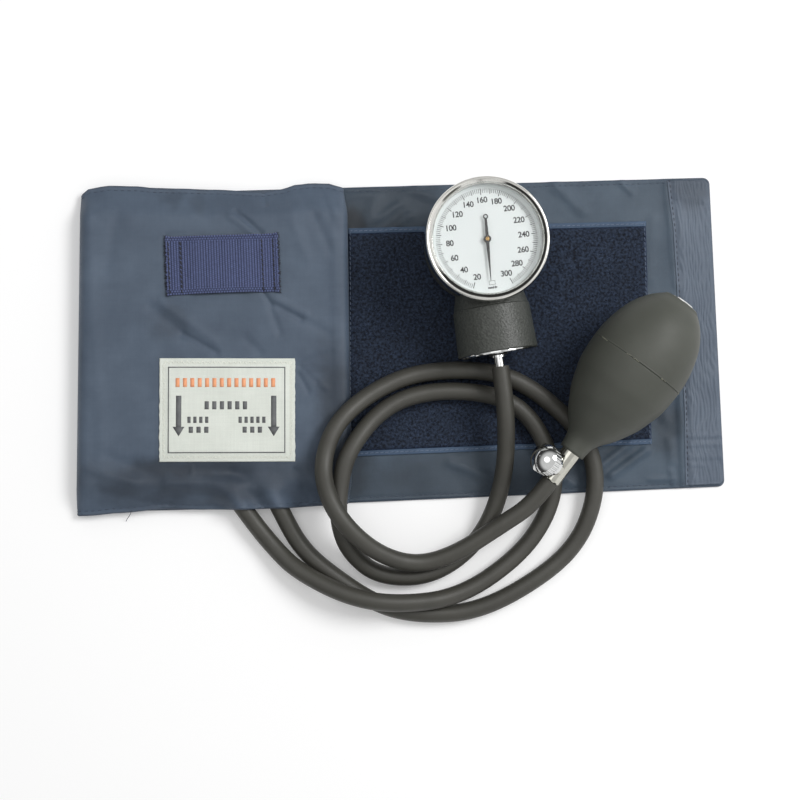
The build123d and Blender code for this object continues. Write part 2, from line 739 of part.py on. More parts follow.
def sector_plane(w):
    """The plane of the sector at height w, centred on its arbor."""
    return Plane(
        origin=gauge.from_local_coords((sector_at[0], sector_at[1], w)), x_dir=gauge.x_dir, z_dir=gauge.z_dir
    )


with BuildPart() as sector_gear:
    with BuildSketch(sector_plane(sector_low)):
        Circle(sector_pitch - dedendum)
        Circle(rim_inner, mode=Mode.SUBTRACT)
        with BuildLine():
            Polyline(
                (0, 0),
                (2 * sector_pitch * cos(rim_from), 2 * sector_pitch * sin(rim_from)),
                (2 * sector_pitch * cos(rim_to), 2 * sector_pitch * sin(rim_to)),
                close=True,
            )
        make_face(mode=Mode.INTERSECT)
        with PolarLocations(0, sector_teeth, sector_first, sector_last - sector_first, endpoint=True):
            Polygon(
                (sector_pitch - dedendum - 0.1, -half_root),
                (sector_pitch + addendum, -half_tip),
                (sector_pitch + addendum, half_tip),
                (sector_pitch - dedendum - 0.1, half_root),
                align=None,
            )
        for spoke in (sector_first + sector_step, sector_last - sector_step):
            with PolarLocations(rim_inner / 2 + 0.2, 1, spoke):
                Rectangle(rim_inner + 0.2, spoke_width)
        Circle(sector_hub)
        Circle(sector_arbor_radius, mode=Mode.SUBTRACT)
    extrude(amount=sector_high - sector_low)
sector_gear.part.label = "sector_gear"
export_step(sector_gear.part, "parts/sector_gear.step")

with BuildPart() as sector_arbor:
    with BuildSketch(sector_plane(pan_floor + 0.1)):
        Circle(sector_arbor_radius)
    extrude(amount=upper_plate_top - pan_floor)
sector_arbor.part.label = "sector_arbor"
export_step(sector_arbor.part, "parts/sector_arbor.step")

lever_reach = Vector(tail_at[0] - sector_at[0], tail_at[1] - sector_at[1])
with BuildPart() as sector_lever:
    with BuildSketch(sector_plane(lever_low)):
        SlotCenterPoint((lever_reach.X / 2, lever_reach.Y / 2), (lever_reach.X, lever_reach.Y), lever_width)
        Circle(sector_arbor_radius, mode=Mode.SUBTRACT)
        with Locations((lever_reach.X, lever_reach.Y)):
            Circle(tail_radius, mode=Mode.SUBTRACT)
    extrude(amount=lever_high - lever_low)
sector_lever.part.label = "sector_lever"
export_step(sector_lever.part, "parts/sector_lever.step")

with BuildPart() as tail_pin:
    with BuildSketch(gauge.offset(tail_low)):
        with Locations(tail_at):
            Circle(tail_radius)
    extrude(amount=lever_high - tail_low)
tail_pin.part.label = "tail_pin"
export_step(tail_pin.part, "parts/tail_pin.step")

# Pinion cut on its arbor, which carries the needle
with BuildPart() as pinion:
    with BuildSketch(gauge.offset(pan_floor + 0.1)):
        Circle(arbor_radius)
    extrude(amount=hub_high - pan_floor - 0.1)
    with BuildSketch(gauge.offset(pinion_low)):
        Circle(pinion_pitch - dedendum)
        with PolarLocations(0, pinion_teeth, mesh_angle + 180):
            Polygon(
                (pinion_pitch - dedendum - 0.1, -half_root),
                (pinion_pitch + addendum, -half_tip),
                (pinion_pitch + addendum, half_tip),
                (pinion_pitch - dedendum - 0.1, half_root),
                align=None,
            )
    extrude(amount=pinion_high - pinion_low)
pinion.part.label = "pinion"
export_step(pinion.part, "parts/pinion.step")

# Hairspring between the collet on the arbor and a fixed stud
with BuildPart() as collet:
    with BuildSketch(gauge.offset(spring_low - collet_reach)):
        Circle(collet_radius)
        Circle(arbor_radius, mode=Mode.SUBTRACT)
    extrude(amount=spring_high - spring_low + 2 * collet_reach)
collet.part.label = "collet"
export_step(collet.part, "parts/collet.step")


def spiral(offset):
    """Points of the hairspring's coil, moved in or out by half its wire."""
    points = []
    steps = spring_turns * 12
    for step in range(steps + 1):
        share = step / steps
        angle = pi / 2 + 2 * pi * spring_turns * share
        radius = spring_inner + (spring_outer - spring_inner) * share + offset
        points.append((radius * cos(angle), radius * sin(angle)))
    return points


with BuildPart() as hairspring:
    with BuildSketch(gauge.offset(spring_low)):
        with BuildLine():
            inner_face = Spline(*spiral(-spring_wire / 2))
            outer_face = Spline(*spiral(spring_wire / 2))
            Line(inner_face @ 0, outer_face @ 0)
            Line(inner_face @ 1, outer_face @ 1)
        make_face()
    extrude(amount=spring_high - spring_low)
hairspring.part.label = "hairspring"
export_step(hairspring.part, "parts/hairspring.step")

with BuildPart() as spring_stud:
    with BuildSketch(gauge.offset(lower_plate_top)):
        with Locations(stud_at):
            Circle(stud_radius)
    extrude(amount=spring_high + collet_reach - lower_plate_top)
spring_stud.part.label = "spring_stud"
export_step(spring_stud.part, "parts/spring_stud.step")

# Needle with a collar and an open ring on its tail, resting just short of zero, and its brass hub
with BuildPart() as needle:
    with BuildSketch(gauge.offset(needle_low).rotated((0, 0, needle_lean))):
        with BuildLine():
            Polyline(
                (-0.12, needle_tip),
                (0.12, needle_tip),
                (0.75, -hub_neck),
                (0.5, needle_tail - ring_hole),
                (-0.5, needle_tail - ring_hole),
                (-0.75, -hub_neck),
                close=True,
            )
        make_face()
        Circle(hub_radius)
        with Locations((0, needle_tail)):
            Circle(ring_radius)
            Circle(ring_hole, mode=Mode.SUBTRACT)
        Circle(hub_neck, mode=Mode.SUBTRACT)
    extrude(amount=needle_high - needle_low)
    with BuildSketch(gauge.offset(needle_high)):
        Circle(hub_radius)
        Circle(hub_neck, mode=Mode.SUBTRACT)
    extrude(amount=hub_high - hub_proud - needle_high)
needle.part.label = "needle"
export_step(needle.part, "parts/needle.step")

with BuildPart() as needle_hub:
    with BuildSketch(gauge.offset(hub_low)):
        Circle(hub_neck)
        Circle(arbor_radius, mode=Mode.SUBTRACT)
    extrude(amount=hub_high - hub_low)
needle_hub.part.label = "needle_hub"
export_step(needle_hub.part, "parts/needle_hub.step")

# Spring clip on the rear of the gauge, bent from sheet, with its two screws
foot_w = pan_rear - clip_sheet / 2
clip_turn = (foot_w - clip_tongue) / 2 - 0.2


def clip_screw_section(place):
    """The plane through one clip screw, with r across it and w along it."""
    return Plane(origin=gauge.from_local_coords((0, place, 0)), x_dir=gauge.x_dir, z_dir=-gauge.y_dir)


def clip_screw_line(top):
    """Half section of a countersunk screw from the clip's rear face up to the height top."""
    rear = pan_rear - clip_sheet
    slope = clip_screw_head - clip_screw
    return [(0, rear), (clip_screw_head, rear), (clip_screw, rear + slope), (clip_screw, top), (0, top)]


with BuildPart() as back_clip:
    with BuildLine(clip_section) as clip_path:
        FilletPolyline(
            (clip_foot_low, foot_w),
            (clip_bend, foot_w),
            (clip_bend, clip_tongue),
            (clip_tongue_low, clip_tongue),
            radius=clip_turn,
        )
    with BuildSketch(Plane(origin=clip_path.line @ 0, x_dir=gauge.x_dir, z_dir=clip_path.line % 0)):
        Rectangle(clip_width, clip_sheet)
    sweep()
    for place in clip_screw_places:
        with BuildSketch(clip_screw_section(place)):
            with BuildLine():
                Polyline(*clip_screw_line(pan_rear), close=True)
            make_face()
        revolve(axis=Axis(clip_screw_section(place).origin, gauge.z_dir), mode=Mode.SUBTRACT)
back_clip.part.label = "back_clip"
export_step(back_clip.part, "parts/back_clip.step")

with BuildPart() as clip_screws:
    for place in clip_screw_places:
        with BuildSketch(clip_screw_section(place)):
            with BuildLine():
                Polyline(*clip_screw_line(pan_rear + clip_screw_depth), close=True)
            make_face()
        revolve(axis=Axis(clip_screw_section(place).origin, gauge.z_dir))
    with BuildSketch(gauge.offset(pan_rear - clip_sheet)):
        with Locations(*[(0, place) for place in clip_screw_places]):
            Rectangle(2 * clip_screw_head, 0.5)
    extrude(amount=0.4, mode=Mode.SUBTRACT)
clip_screws.part.label = "clip_screws"
export_step(clip_screws.part, "parts/clip_screws.step")

# Rubber squeeze bulb
wall_share = 1 - bulb_wall / bulb_half
bulb_lining = [(bulb_middle + (s - bulb_middle) * wall_share, r - bulb_wall) for s, r in bulb_outline[2:]]
bulb_lining.reverse()
with BuildPart() as bulb:
    with BuildSketch(bulb_section):
        with BuildLine():
            Spline((0, bulb_neck_radius), *bulb_outline, (bulb_length, bulb_end_radius))
            Polyline(
                (bulb_length, bulb_end_radius), (bulb_length, end_bore), (bulb_length - bulb_wall, end_bore)
            )
            Spline((bulb_length - bulb_wall, end_bore), *bulb_lining, (neck_depth, neck_bore))
            Polyline((neck_depth, neck_bore), (0, neck_bore), (0, bulb_neck_radius))
        make_face()
    revolve(axis=bulb_axis)
bulb.part.label = "bulb"
export_step(bulb.part, "parts/bulb.step")

# Release valve in the bulb's neck: stub, body, barbs for the tube and a screw boss
barb_start = valve_tail - barb_pitch * barb_count - 0.4
with BuildPart() as valve_body:
    with BuildSketch(bulb_section):
        with BuildLine():
            valve_line = [(stub_length, 0), (stub_length, stub_radius), (0, stub_radius), (0, valve_radius)]
            valve_line += [(valve_tail + 0.5, valve_radius), (valve_tail, valve_radius - 0.5)]
            valve_line += [(valve_tail, barb_root)]
            for barb in range(barb_count):
                crest = valve_tail - 0.4 - barb_pitch * barb
                valve_line += [(crest, barb_crest), (crest - barb_pitch, barb_root)]
            valve_line += [(barb_start, 0)]
            Polyline(*valve_line, close=True)
        make_face()
    revolve(axis=bulb_axis)
    with BuildSketch(across_screw(0)):
        Circle(boss_radius)
    extrude(amount=boss_top)
    with BuildSketch(across_screw(0)):
        Circle(stem_seat_hole)
    extrude(amount=stem_seat, mode=Mode.SUBTRACT)
    with BuildSketch(across_screw(stem_seat)):
        Circle(stem_bore)
    extrude(amount=boss_top - stem_seat, mode=Mode.SUBTRACT)
    with BuildSketch(Plane(origin=screw_at + screw_dir * vent_q, x_dir=screw_dir, z_dir=-bulb_dir)):
        Circle(vent_radius)
    extrude(amount=boss_radius + 1, mode=Mode.SUBTRACT)
    with BuildSketch(bulb_section):
        with BuildLine():
            Polyline(
                (barb_start, 0),
                (barb_start, valve_bore),
                (chamber_floor, valve_bore),
                (chamber_floor, chamber_radius),
                (stub_length, chamber_radius),
                (stub_length, 0),
                close=True,
            )
        make_face()
    revolve(axis=bulb_axis, mode=Mode.SUBTRACT)
valve_body.part.label = "valve_body"
export_step(valve_body.part, "parts/valve_body.step")

with BuildPart() as check_seat:
    with BuildSketch(across_bulb(seat_low)):
        Circle(chamber_radius)
        Circle(seat_hole, mode=Mode.SUBTRACT)
    extrude(amount=stub_length - seat_low)
check_seat.part.label = "check_seat"
export_step(check_seat.part, "parts/check_seat.step")

with BuildPart() as check_ball:
    with Locations(across_bulb(check_ball_at)):
        Sphere(check_ball_radius)
check_ball.part.label = "check_ball"
export_step(check_ball.part, "parts/check_ball.step")

# Release screw: a needle-tipped stem in the boss and a knurled, domed knob
with BuildPart() as release_stem:
    with BuildSketch(screw_section):
        with BuildLine():
            Polyline(
                (0, stem_tip),
                (stem_tip_radius, stem_tip),
                (stem_radius, stem_cone),
                (stem_radius, stem_top),
                (0, stem_top),
                close=True,
            )
        make_face()
    revolve(axis=screw_axis)
release_stem.part.label = "release_stem"
export_step(release_stem.part, "parts/release_stem.step")

knob_bore = stem_radius + knob_fit
knob_roof = stem_top + 0.2
knob_rise = knob_crown - knob_band_high
knob_dome = (knob_radius**2 + knob_rise**2) / (2 * knob_rise)
with BuildPart() as release_knob:
    with BuildSketch(screw_section):
        with BuildLine():
            Polyline(
                (0, knob_crown),
                (0, knob_roof),
                (knob_bore, knob_roof),
                (knob_bore, knob_low),
                (knob_collar, knob_low),
                (knob_collar, knob_band_low - 0.4),
                (knob_radius, knob_band_low),
                (knob_radius, knob_band_high),
            )
            RadiusArc((knob_radius, knob_band_high), (0, knob_crown), -knob_dome)
        make_face()
    revolve(axis=screw_axis)
    with BuildSketch(across_screw(knob_band_low - 0.5)):
        with PolarLocations(knob_radius + knurl_radius / 2, knob_knurls):
            Circle(knurl_radius)
    extrude(amount=knob_band_high - knob_band_low + 0.2, mode=Mode.SUBTRACT)
release_knob.part.label = "release_knob"
export_step(release_knob.part, "parts/release_knob.step")

# Inlet valve in the far end of the bulb
with BuildPart() as end_valve_body:
    with BuildSketch(bulb_section):
        with BuildLine():
            Polyline(
                (end_barrel_inner, cage_radius),
                (end_barrel_inner, end_barrel),
                (bulb_length, end_barrel),
                (bulb_length, end_flange),
                (bulb_length + end_flange_thick - 0.4, end_flange),
                (bulb_length + end_flange_thick, end_flange - 0.6),
                (bulb_length + end_flange_thick, end_hole),
                (end_seat, end_hole),
                (end_seat, end_chamber),
                (cage_top, end_chamber),
                (cage_top, cage_radius),
                close=True,
            )
        make_face()
    revolve(axis=bulb_axis)
end_valve_body.part.label = "end_valve_body"
export_step(end_valve_body.part, "parts/end_valve_body.step")

with BuildPart() as end_valve_cage:
    with BuildSketch(across_bulb(end_barrel_inner)):
        Circle(cage_radius)
        Circle(cage_hole, mode=Mode.SUBTRACT)
    extrude(amount=cage_top - end_barrel_inner)
    with BuildSketch(across_bulb(cage_top)):
        Rectangle(2 * end_chamber, cage_slot)
        Rectangle(cage_slot, 2 * end_chamber)
    extrude(amount=-cage_slot, mode=Mode.SUBTRACT)
end_valve_cage.part.label = "end_valve_cage"
export_step(end_valve_cage.part, "parts/end_valve_cage.step")

with BuildPart() as end_valve_ball:
    with Locations(across_bulb(end_ball_at)):
        Sphere(end_ball_radius)
end_valve_ball.part.label = "end_valve_ball"
export_step(end_valve_ball.part, "parts/end_valve_ball.step")

# The two rubber tubes, bored out at the end that takes a barbed fitting
tube_section = pi * (tube_radius**2 - tube_bore**2)
gauge_radii = bend_radii(to_gauge)
with BuildPart() as tube_to_gauge:
    with BuildLine() as gauge_path:
        FilletPolyline(*to_gauge, radius=gauge_radii)
    with BuildSketch(Plane(origin=gauge_path.line @ 0, z_dir=gauge_path.line % 0)):
        Circle(tube_radius)
        Circle(tube_bore, mode=Mode.SUBTRACT)
    sweep()
run_length = sum(edge.length for edge in gauge_path.edges())
print("tube to gauge: length", round(run_length, 1), "radii", [round(r) for r in gauge_radii])
print("volume share", round(tube_to_gauge.part.volume / (tube_section * run_length), 4))
with BuildPart(mode=Mode.PRIVATE) as nipple_socket:
    with BuildSketch(across_drum(tube_meets_nipple)):
        Circle(nipple_barrel + 0.3 + tube_slip)
    extrude(amount=tube_meets_nipple - nipple_tip)
tube_to_gauge.part = tube_to_gauge.part - nipple_socket.part
tube_to_gauge.part.label = "tube_to_gauge"
export_step(tube_to_gauge.part, "parts/tube_to_gauge.step")

bulb_radii = bend_radii(to_bulb)
with BuildPart() as tube_to_bulb:
    with BuildLine() as bulb_path:
        FilletPolyline(*to_bulb, radius=bulb_radii)
    with BuildSketch(Plane(origin=bulb_path.line @ 0, z_dir=bulb_path.line % 0)):
        Circle(tube_radius)
        Circle(tube_bore, mode=Mode.SUBTRACT)
    sweep()
run_length = sum(edge.length for edge in bulb_path.edges())
print("tube to bulb: length", round(run_length, 1), "radii", [round(r) for r in bulb_radii])
print("volume share", round(tube_to_bulb.part.volume / (tube_section * run_length), 4))
with BuildPart(mode=Mode.PRIVATE) as valve_socket:
    with BuildSketch(across_bulb(tube_meets_valve)):
        Circle(barb_crest + tube_slip)
    extrude(amount=barb_start - tube_meets_valve)
tube_to_bulb.part = tube_to_bulb.part - valve_socket.part
tube_to_bulb.part.label = "tube_to_bulb"
export_step(tube_to_bulb.part, "parts/tube_to_bulb.step")
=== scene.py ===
# %% [markdown]
# # An aneroid sphygmomanometer
# A cuff, a dial gauge, a squeeze bulb and two rubber tubes. The hard pieces come from a
# finished frame that was drawn to size, so this lesson never moves them: it gives them their
# finishes and makes the soft and the sewn pieces around them. Everything is in metres.

import bpy
import bmesh
import math
import random
from mathutils import Matrix, Vector, noise
from mathutils.bvhtree import BVHTree


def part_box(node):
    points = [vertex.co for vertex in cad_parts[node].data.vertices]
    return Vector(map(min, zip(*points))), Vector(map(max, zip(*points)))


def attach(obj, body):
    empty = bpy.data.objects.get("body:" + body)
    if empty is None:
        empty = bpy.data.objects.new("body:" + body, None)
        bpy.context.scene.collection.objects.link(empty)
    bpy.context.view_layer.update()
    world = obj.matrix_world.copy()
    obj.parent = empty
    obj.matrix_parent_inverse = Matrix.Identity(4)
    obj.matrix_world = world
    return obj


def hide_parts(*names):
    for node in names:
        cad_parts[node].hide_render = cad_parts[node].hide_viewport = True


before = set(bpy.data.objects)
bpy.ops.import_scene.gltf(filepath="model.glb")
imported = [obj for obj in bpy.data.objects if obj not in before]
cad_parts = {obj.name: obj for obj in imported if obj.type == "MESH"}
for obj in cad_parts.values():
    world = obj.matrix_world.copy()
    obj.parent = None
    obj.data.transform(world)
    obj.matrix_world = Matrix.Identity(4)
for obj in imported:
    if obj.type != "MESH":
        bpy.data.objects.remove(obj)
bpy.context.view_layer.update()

# %% [markdown]
# ## The camera
# The object was photographed from almost straight above, a little from the left and from
# below. A long lens far away keeps the round dial round. The camera is turned by three
# directions of its own: what is to its right, what is above it and what it looks away from.

# %% The camera
def show(name, data):
    """A new object in the scene."""
    thing = bpy.data.objects.new(name, data)
    bpy.context.scene.collection.objects.link(thing)
    return thing


eye, looked_at = Vector((-0.0581, -0.0545, 0.697)), Vector((-0.0020, -0.0263, 0.0))
top_of_image = Vector((0.0419, 0.9991, 0))
forward = (looked_at - eye).normalized()
right = forward.cross(top_of_image).normalized()
camera = show("camera", bpy.data.cameras.new("camera"))
turn = Matrix((right, right.cross(forward), -forward)).transposed()
camera.matrix_world = Matrix.Translation(eye) @ turn.to_4x4()
camera.data.lens = 68.6
camera.data.sensor_width = 36
bpy.context.scene.camera = camera
bpy.context.scene.view_settings.view_transform = "Standard"
print("camera stands", round((looked_at - eye).length, 3), "m away")

# %% [markdown]
# ## The two rubber tubes
# Each tube is half a metre of soft rubber that leaves the cuff's lower hem, loops over the
# table and the open panel, and ends on a fitting. A mesh could be swept along it, but a curve
# with a round bevel is simpler: a NURBS spline of order 3 glides past its points, as rubber
# does, and never kinks. The points are where the tube lies, in millimetres.

# %% The two rubber tubes
MM = 0.001
tube_radius = 4.0
to_gauge = [
    (-79.8, -65.6, 5.6), (-72.0, -77.5, 5.4), (-62.9, -89.9, 4.4), (-52.7, -101.2, 7.6),
    (-30.6, -113.7, 13.4), (-8.9, -118.6, 13.0), (20.6, -117.2, 7.0), (48.8, -100.4, 4.1),
    (63.4, -82.0, 4.2), (67.9, -62.3, 7.0), (59.0, -38.5, 7.2), (43.5, -25.9, 7.1),
    (14.2, -22.3, 7.1), (-9.5, -28.4, 9.5), (-27.5, -48.0, 16.2), (-32.2, -65.0, 15.2),
    (-33.2, -80.0, 15.0), (-28.8, -94.0, 8.4), (-15.0, -106.6, 4.2), (9.7, -107.4, 4.1),
    (32.2, -91.7, 4.3), (43.4, -65.9, 9.5), (44.1902, -33.8179, 21.1), (41.9262, -13.9465, 21.1),
]
to_bulb = [
    (-62.3, -65.6, 5.6), (-57.0, -77.8, 5.4), (-50.2, -91.0, 4.2), (-39.9, -101.8, 4.1),
    (-17.1, -118.9, 4.1), (3.3, -124.6, 4.1), (30.1, -124.1, 4.1), (60.3, -109.3, 4.1),
    (77.8, -94.0, 4.1), (86.0, -73.0, 6.2), (85.0, -54.5, 7.2), (76.2, -39.6, 7.2),
    (56.3, -21.6, 7.1), (36.7, -14.0, 7.1), (5.3, -14.0, 7.1), (-17.0, -23.2, 11.5),
    (-33.2, -36.8, 16.4), (-39.6, -54.0, 17.8), (-37.8, -69.0, 23.2), (-29.4, -83.5, 23.0),
    (-15.0, -96.0, 15.0), (2.0, -101.6, 10.6), (20.0, -97.0, 11.6), (40.5, -84.6, 14.9),
    (54.6761, -76.0690, 16.4881), (62.6661, -65.9518, 18.1625),
]


def lay_tube(name, route, node):
    """A free rubber tube along a route of points in millimetres."""
    curve = bpy.data.curves.new(name, "CURVE")
    curve.dimensions = "3D"
    spline = curve.splines.new("NURBS")
    spline.points.add(len(route) - 1)
    for point, place in zip(spline.points, route):
        point.co = (*(Vector(place) * MM), 1)
        point.radius = tube_radius * MM
    spline.order_u = 3
    spline.use_endpoint_u = True
    spline.resolution_u = 10
    curve.bevel_depth = 1
    curve.bevel_resolution = 5
    curve.use_fill_caps = True
    tube = show(name, curve)
    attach(tube, "cuff_set")
    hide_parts(node)
    print(name, "follows", len(route), "points")
    return tube


gauge_tube = lay_tube("gauge_tube", to_gauge, "tube_to_gauge")
bulb_tube = lay_tube("bulb_tube", to_bulb, "tube_to_bulb")

# %% [markdown]
# ## Tools for finishes
# A finish is a small tree of shader nodes that ends in one Principled BSDF. It could be drawn
# in the node editor. In code, `put` adds a node, fills its inputs with values or with other
# nodes' outputs, and returns an output, so a tree reads like a sum. Colours are written as a
# screen shows them, and `paint` turns them into the linear values that a shader works with.

# %% Tools for finishes
finishes = {}


def paint(*screen):
    """A screen colour, 0 to 255, as the linear colour that a shader takes."""
    shares = [c / 255 for c in screen]
    return [c / 12.92 if c <= 0.04045 else ((c + 0.055) / 1.055) ** 2.4 for c in shares] + [1]


def grey(share):
    """A linear grey."""
    return share, share, share, 1


def fill(tree, sockets, values):
    """Gives sockets plain values, or plugs them with other nodes' outputs."""
    for key, value in values.items():
        if isinstance(value, bpy.types.NodeSocket):
            tree.links.new(value, sockets[key])
        else:
            sockets[key].default_value = value


def put(tree, kind, inputs=(), output=0, **options):
    """Adds a shader node with its options and inputs, listed or by name, and returns an output."""
    node = tree.nodes.new("ShaderNode" + kind)
    for key, value in options.items():
        setattr(node, key, value)
    fill(tree, node.inputs, inputs if isinstance(inputs, dict) else dict(enumerate(inputs)))
    return node.outputs[output]


def calc(tree, operation, *values):
    """A sum on one or two numbers."""
    return put(tree, "Math", values, operation=operation)


def steer(tree, operation, *values, output=0):
    """A sum on vectors."""
    return put(tree, "VectorMath", values, output, operation=operation)


def ramp(tree, value, *limits, ease="LINEAR"):
    """Carries a value from one range, its first two limits, to another."""
    return put(tree, "MapRange", (value, *limits), interpolation_type=ease)


def multiply(tree, colour, shade):
    """A colour times another colour or a number."""
    return put(tree, "Mix", {0: 1.0, 6: colour, 7: shade}, 2, data_type="RGBA", blend_type="MULTIPLY")


def bump(tree, height, strength, distance):
    """The normal of a surface with a height, whose full step is a distance in millimetres."""
    return put(tree, "Bump", {"Height": height, "Strength": strength, "Distance": distance * MM})


def start_finish(name, roughness, values=None):
    """A new material: its tree, the inputs of its Principled BSDF and its Object coordinates."""
    material = finishes[name] = bpy.data.materials.new(name)
    material.use_nodes = True
    tree = material.node_tree
    shader = tree.nodes["Principled BSDF"].inputs
    fill(tree, shader, {"Roughness": roughness, **(values or {})})
    return tree, shader, put(tree, "TexCoord", output="Object")


print("paint makes a mid grey", round(paint(128, 128, 128)[0], 3), "in linear light")

# %% [markdown]
# ## Shared effects
# Four effects turn up on many pieces, so each is a node group with named inputs. **Mottle**
# blends two colours by soft noise, because no real surface is one flat colour. **Weave**
# crosses two sets of threads, over and under in turn, and gives their height and the long
# faint streaks that uneven yarn leaves. **Grain** is fine bumpiness for rubber and paint.
# ** Painted shade** darkens a soft oval with a ragged rim: painted shadow where the tubes, the
# flap and the gauge shade the cloth, and painted shade where its sheen falls off.

# %% Shared effects
number, vector, tint = "NodeSocketFloat", "NodeSocketVector", "NodeSocketColor"
smooth = "SMOOTHSTEP"


def start_group(name, inputs, outputs):
    """A shader node group: its tree, what it is given and what it puts out."""
    group = bpy.data.node_groups.new(name, "ShaderNodeTree")
    for way, sockets in (("INPUT", inputs), ("OUTPUT", outputs)):
        for socket, kind in sockets.items():
            group.interface.new_socket(socket, in_out=way, socket_type=kind)
    return group, group.nodes.new("NodeGroupInput").outputs, group.nodes.new("NodeGroupOutput").inputs


mottle, given, result = start_group(
    "mottle", {"Place": vector, "Scale": number, "Dark": tint, "Light": tint, "Contrast": number},
    {"Color": tint, "Amount": number},
)
cloud = put(mottle, "TexNoise", {"Vector": given["Place"], "Scale": given["Scale"], "Detail": 5,
                                 "Roughness": 0.6})
spread = put(mottle, "Math", (calc(mottle, "SUBTRACT", cloud, 0.5), given["Contrast"], 0.5),
             operation="MULTIPLY_ADD", use_clamp=True)
blend = put(mottle, "Mix", {0: spread, 6: given["Dark"], 7: given["Light"]}, 2, data_type="RGBA")
fill(mottle, result, {"Color": blend, "Amount": spread})

weave, given, result = start_group(
    "weave", {"Place": vector, "Threads": number}, {"Height": number, "Streaks": number}
)
scaled = put(weave, "VectorMath", {0: given["Place"], "Scale": given["Threads"]}, operation="SCALE")
split = put(weave, "SeparateXYZ", [scaled]).node.outputs
waves, cells, slubs = [], [], []
for axis, stretch in enumerate(((60, 1400, 1), (1400, 60, 1))):
    sine = calc(weave, "SINE", calc(weave, "MULTIPLY", split[axis], math.pi))
    waves.append(calc(weave, "ABSOLUTE", sine))
    cells.append(calc(weave, "FLOOR", split[axis]))
    long_way = steer(weave, "MULTIPLY", given["Place"], stretch)
    slubs.append(put(weave, "TexNoise", {"Vector": long_way, "Scale": 1.0, "Detail": 2}))
over = calc(weave, "PINGPONG", calc(weave, "ADD", *cells), 1.0)
thread = put(weave, "Mix", {0: over, 2: waves[0], 3: waves[1]})
fill(weave, result, {"Height": thread, "Streaks": calc(weave, "ADD", *slubs)})

grain, given, result = start_group("grain", {"Place": vector, "Scale": number}, {"Height": number})
fine = put(grain, "TexNoise", {"Vector": given["Place"], "Scale": given["Scale"], "Detail": 3,
                               "Roughness": 0.65})
fill(grain, result, {"Height": fine})

# Painted shade: a soft oval that darkens the cloth's colour where shadow falls on it.
painted_shade_oval, given, result = start_group(
    "painted_shade_oval", {"Place": vector, "Centre": vector, "Reach": vector, "Depth": number}, {"Tone": number}
)
ragged = put(painted_shade_oval, "TexNoise", {"Vector": given["Place"], "Scale": 55.0, "Detail": 3}, "Color")
ragged = steer(painted_shade_oval, "SUBTRACT", ragged, (0.5, 0.5, 0.5))
ragged = put(painted_shade_oval, "VectorMath", {0: ragged, "Scale": 0.022}, operation="SCALE")
spot = steer(painted_shade_oval, "SUBTRACT", steer(painted_shade_oval, "ADD", given["Place"], ragged), given["Centre"])
away = steer(painted_shade_oval, "LENGTH", steer(painted_shade_oval, "DIVIDE", spot, given["Reach"]), output="Value")
inside = ramp(painted_shade_oval, away, 1.0, 0.35, 0.0, 1.0, ease=smooth)
fill(painted_shade_oval, result, {"Tone": calc(painted_shade_oval, "SUBTRACT", 1.0, calc(painted_shade_oval, "MULTIPLY", inside, given["Depth"]))})


def use(tree, group, *inputs):
    """Places a shared effect in a finish and returns its first output."""
    return put(tree, "Group", inputs, node_tree=group)


def tone_of(tree, shader, place, dark, light, patch, contrast, matte, glossy):
    """Mottled colour, glossier where it is light."""
    tone = use(tree, mottle, place, patch, paint(*dark), paint(*light), contrast)
    gloss = ramp(tree, tone.node.outputs["Amount"], 0, 1, matte, glossy)
    fill(tree, shader, {"Base Color": tone, "Roughness": gloss})
    return tone


print("shared effects:", [group.name for group in bpy.data.node_groups])

# %% [markdown]
# ## Cloth finishes
# The cuff is a tightly woven nylon, slate blue with a faint gloss on each crease. Its threads
# follow the cloth round the folds, so the weave reads the piece's own UV map, the cut cloth
# laid flat, and paints shade where the threads dip. Handling leaves soft patches, ovals of
# painted shadow and painted shade darken the cloth under the tubes, the flap and the gauge and
# where its sheen falls off, and a thin sheen stands for the fibres that stick out. The
# webbing's finish reads how high each modelled yarn stands and paints shade between the yarns,
# and the pile's gives each of its curled fibres a tone.

# %% Cloth finishes
def cloth_finish(name, dark, light, threads, relief, roughness, sheen, painted_shades=()):
    """Woven cloth on the piece's UV map: threads with painted shade where they dip, patches of tone, a sheen
    and ovals of painted shade.
    """
    tree, shader, place = start_finish(
        name, roughness, {"Sheen Weight": sheen, "Sheen Roughness": 0.4, "Specular IOR Level": 0.35}
    )
    flat = put(tree, "UVMap", uv_map="cloth")
    tone = tone_of(tree, shader, flat, dark, light, 42.0, 1.7, roughness + 0.06, roughness - 0.06)
    height = use(tree, weave, flat, threads)
    # Painted shade: the colour darkens where the threads dip between each other.
    lift = ramp(tree, height, 0, 1, 0.86, 1.06)
    streak = ramp(tree, height.node.outputs["Streaks"], 0.6, 1.4, 0.955, 1.045)
    shade = calc(tree, "MULTIPLY", lift, streak)
    # Each oval is painted shade: shadow of the tubes, the flap and the gauge, and the falling-off of the
    # sheen.
    for middle, reach, depth in painted_shades:
        painted_dark = use(tree, painted_shade_oval, place, [c * MM for c in middle] + [0], [r * MM for r in reach] + [1], depth)
        shade = calc(tree, "MULTIPLY", shade, painted_dark)
    fill(tree, shader, {"Base Color": multiply(tree, tone, shade), "Normal": bump(tree, height, 0.5, relief)})


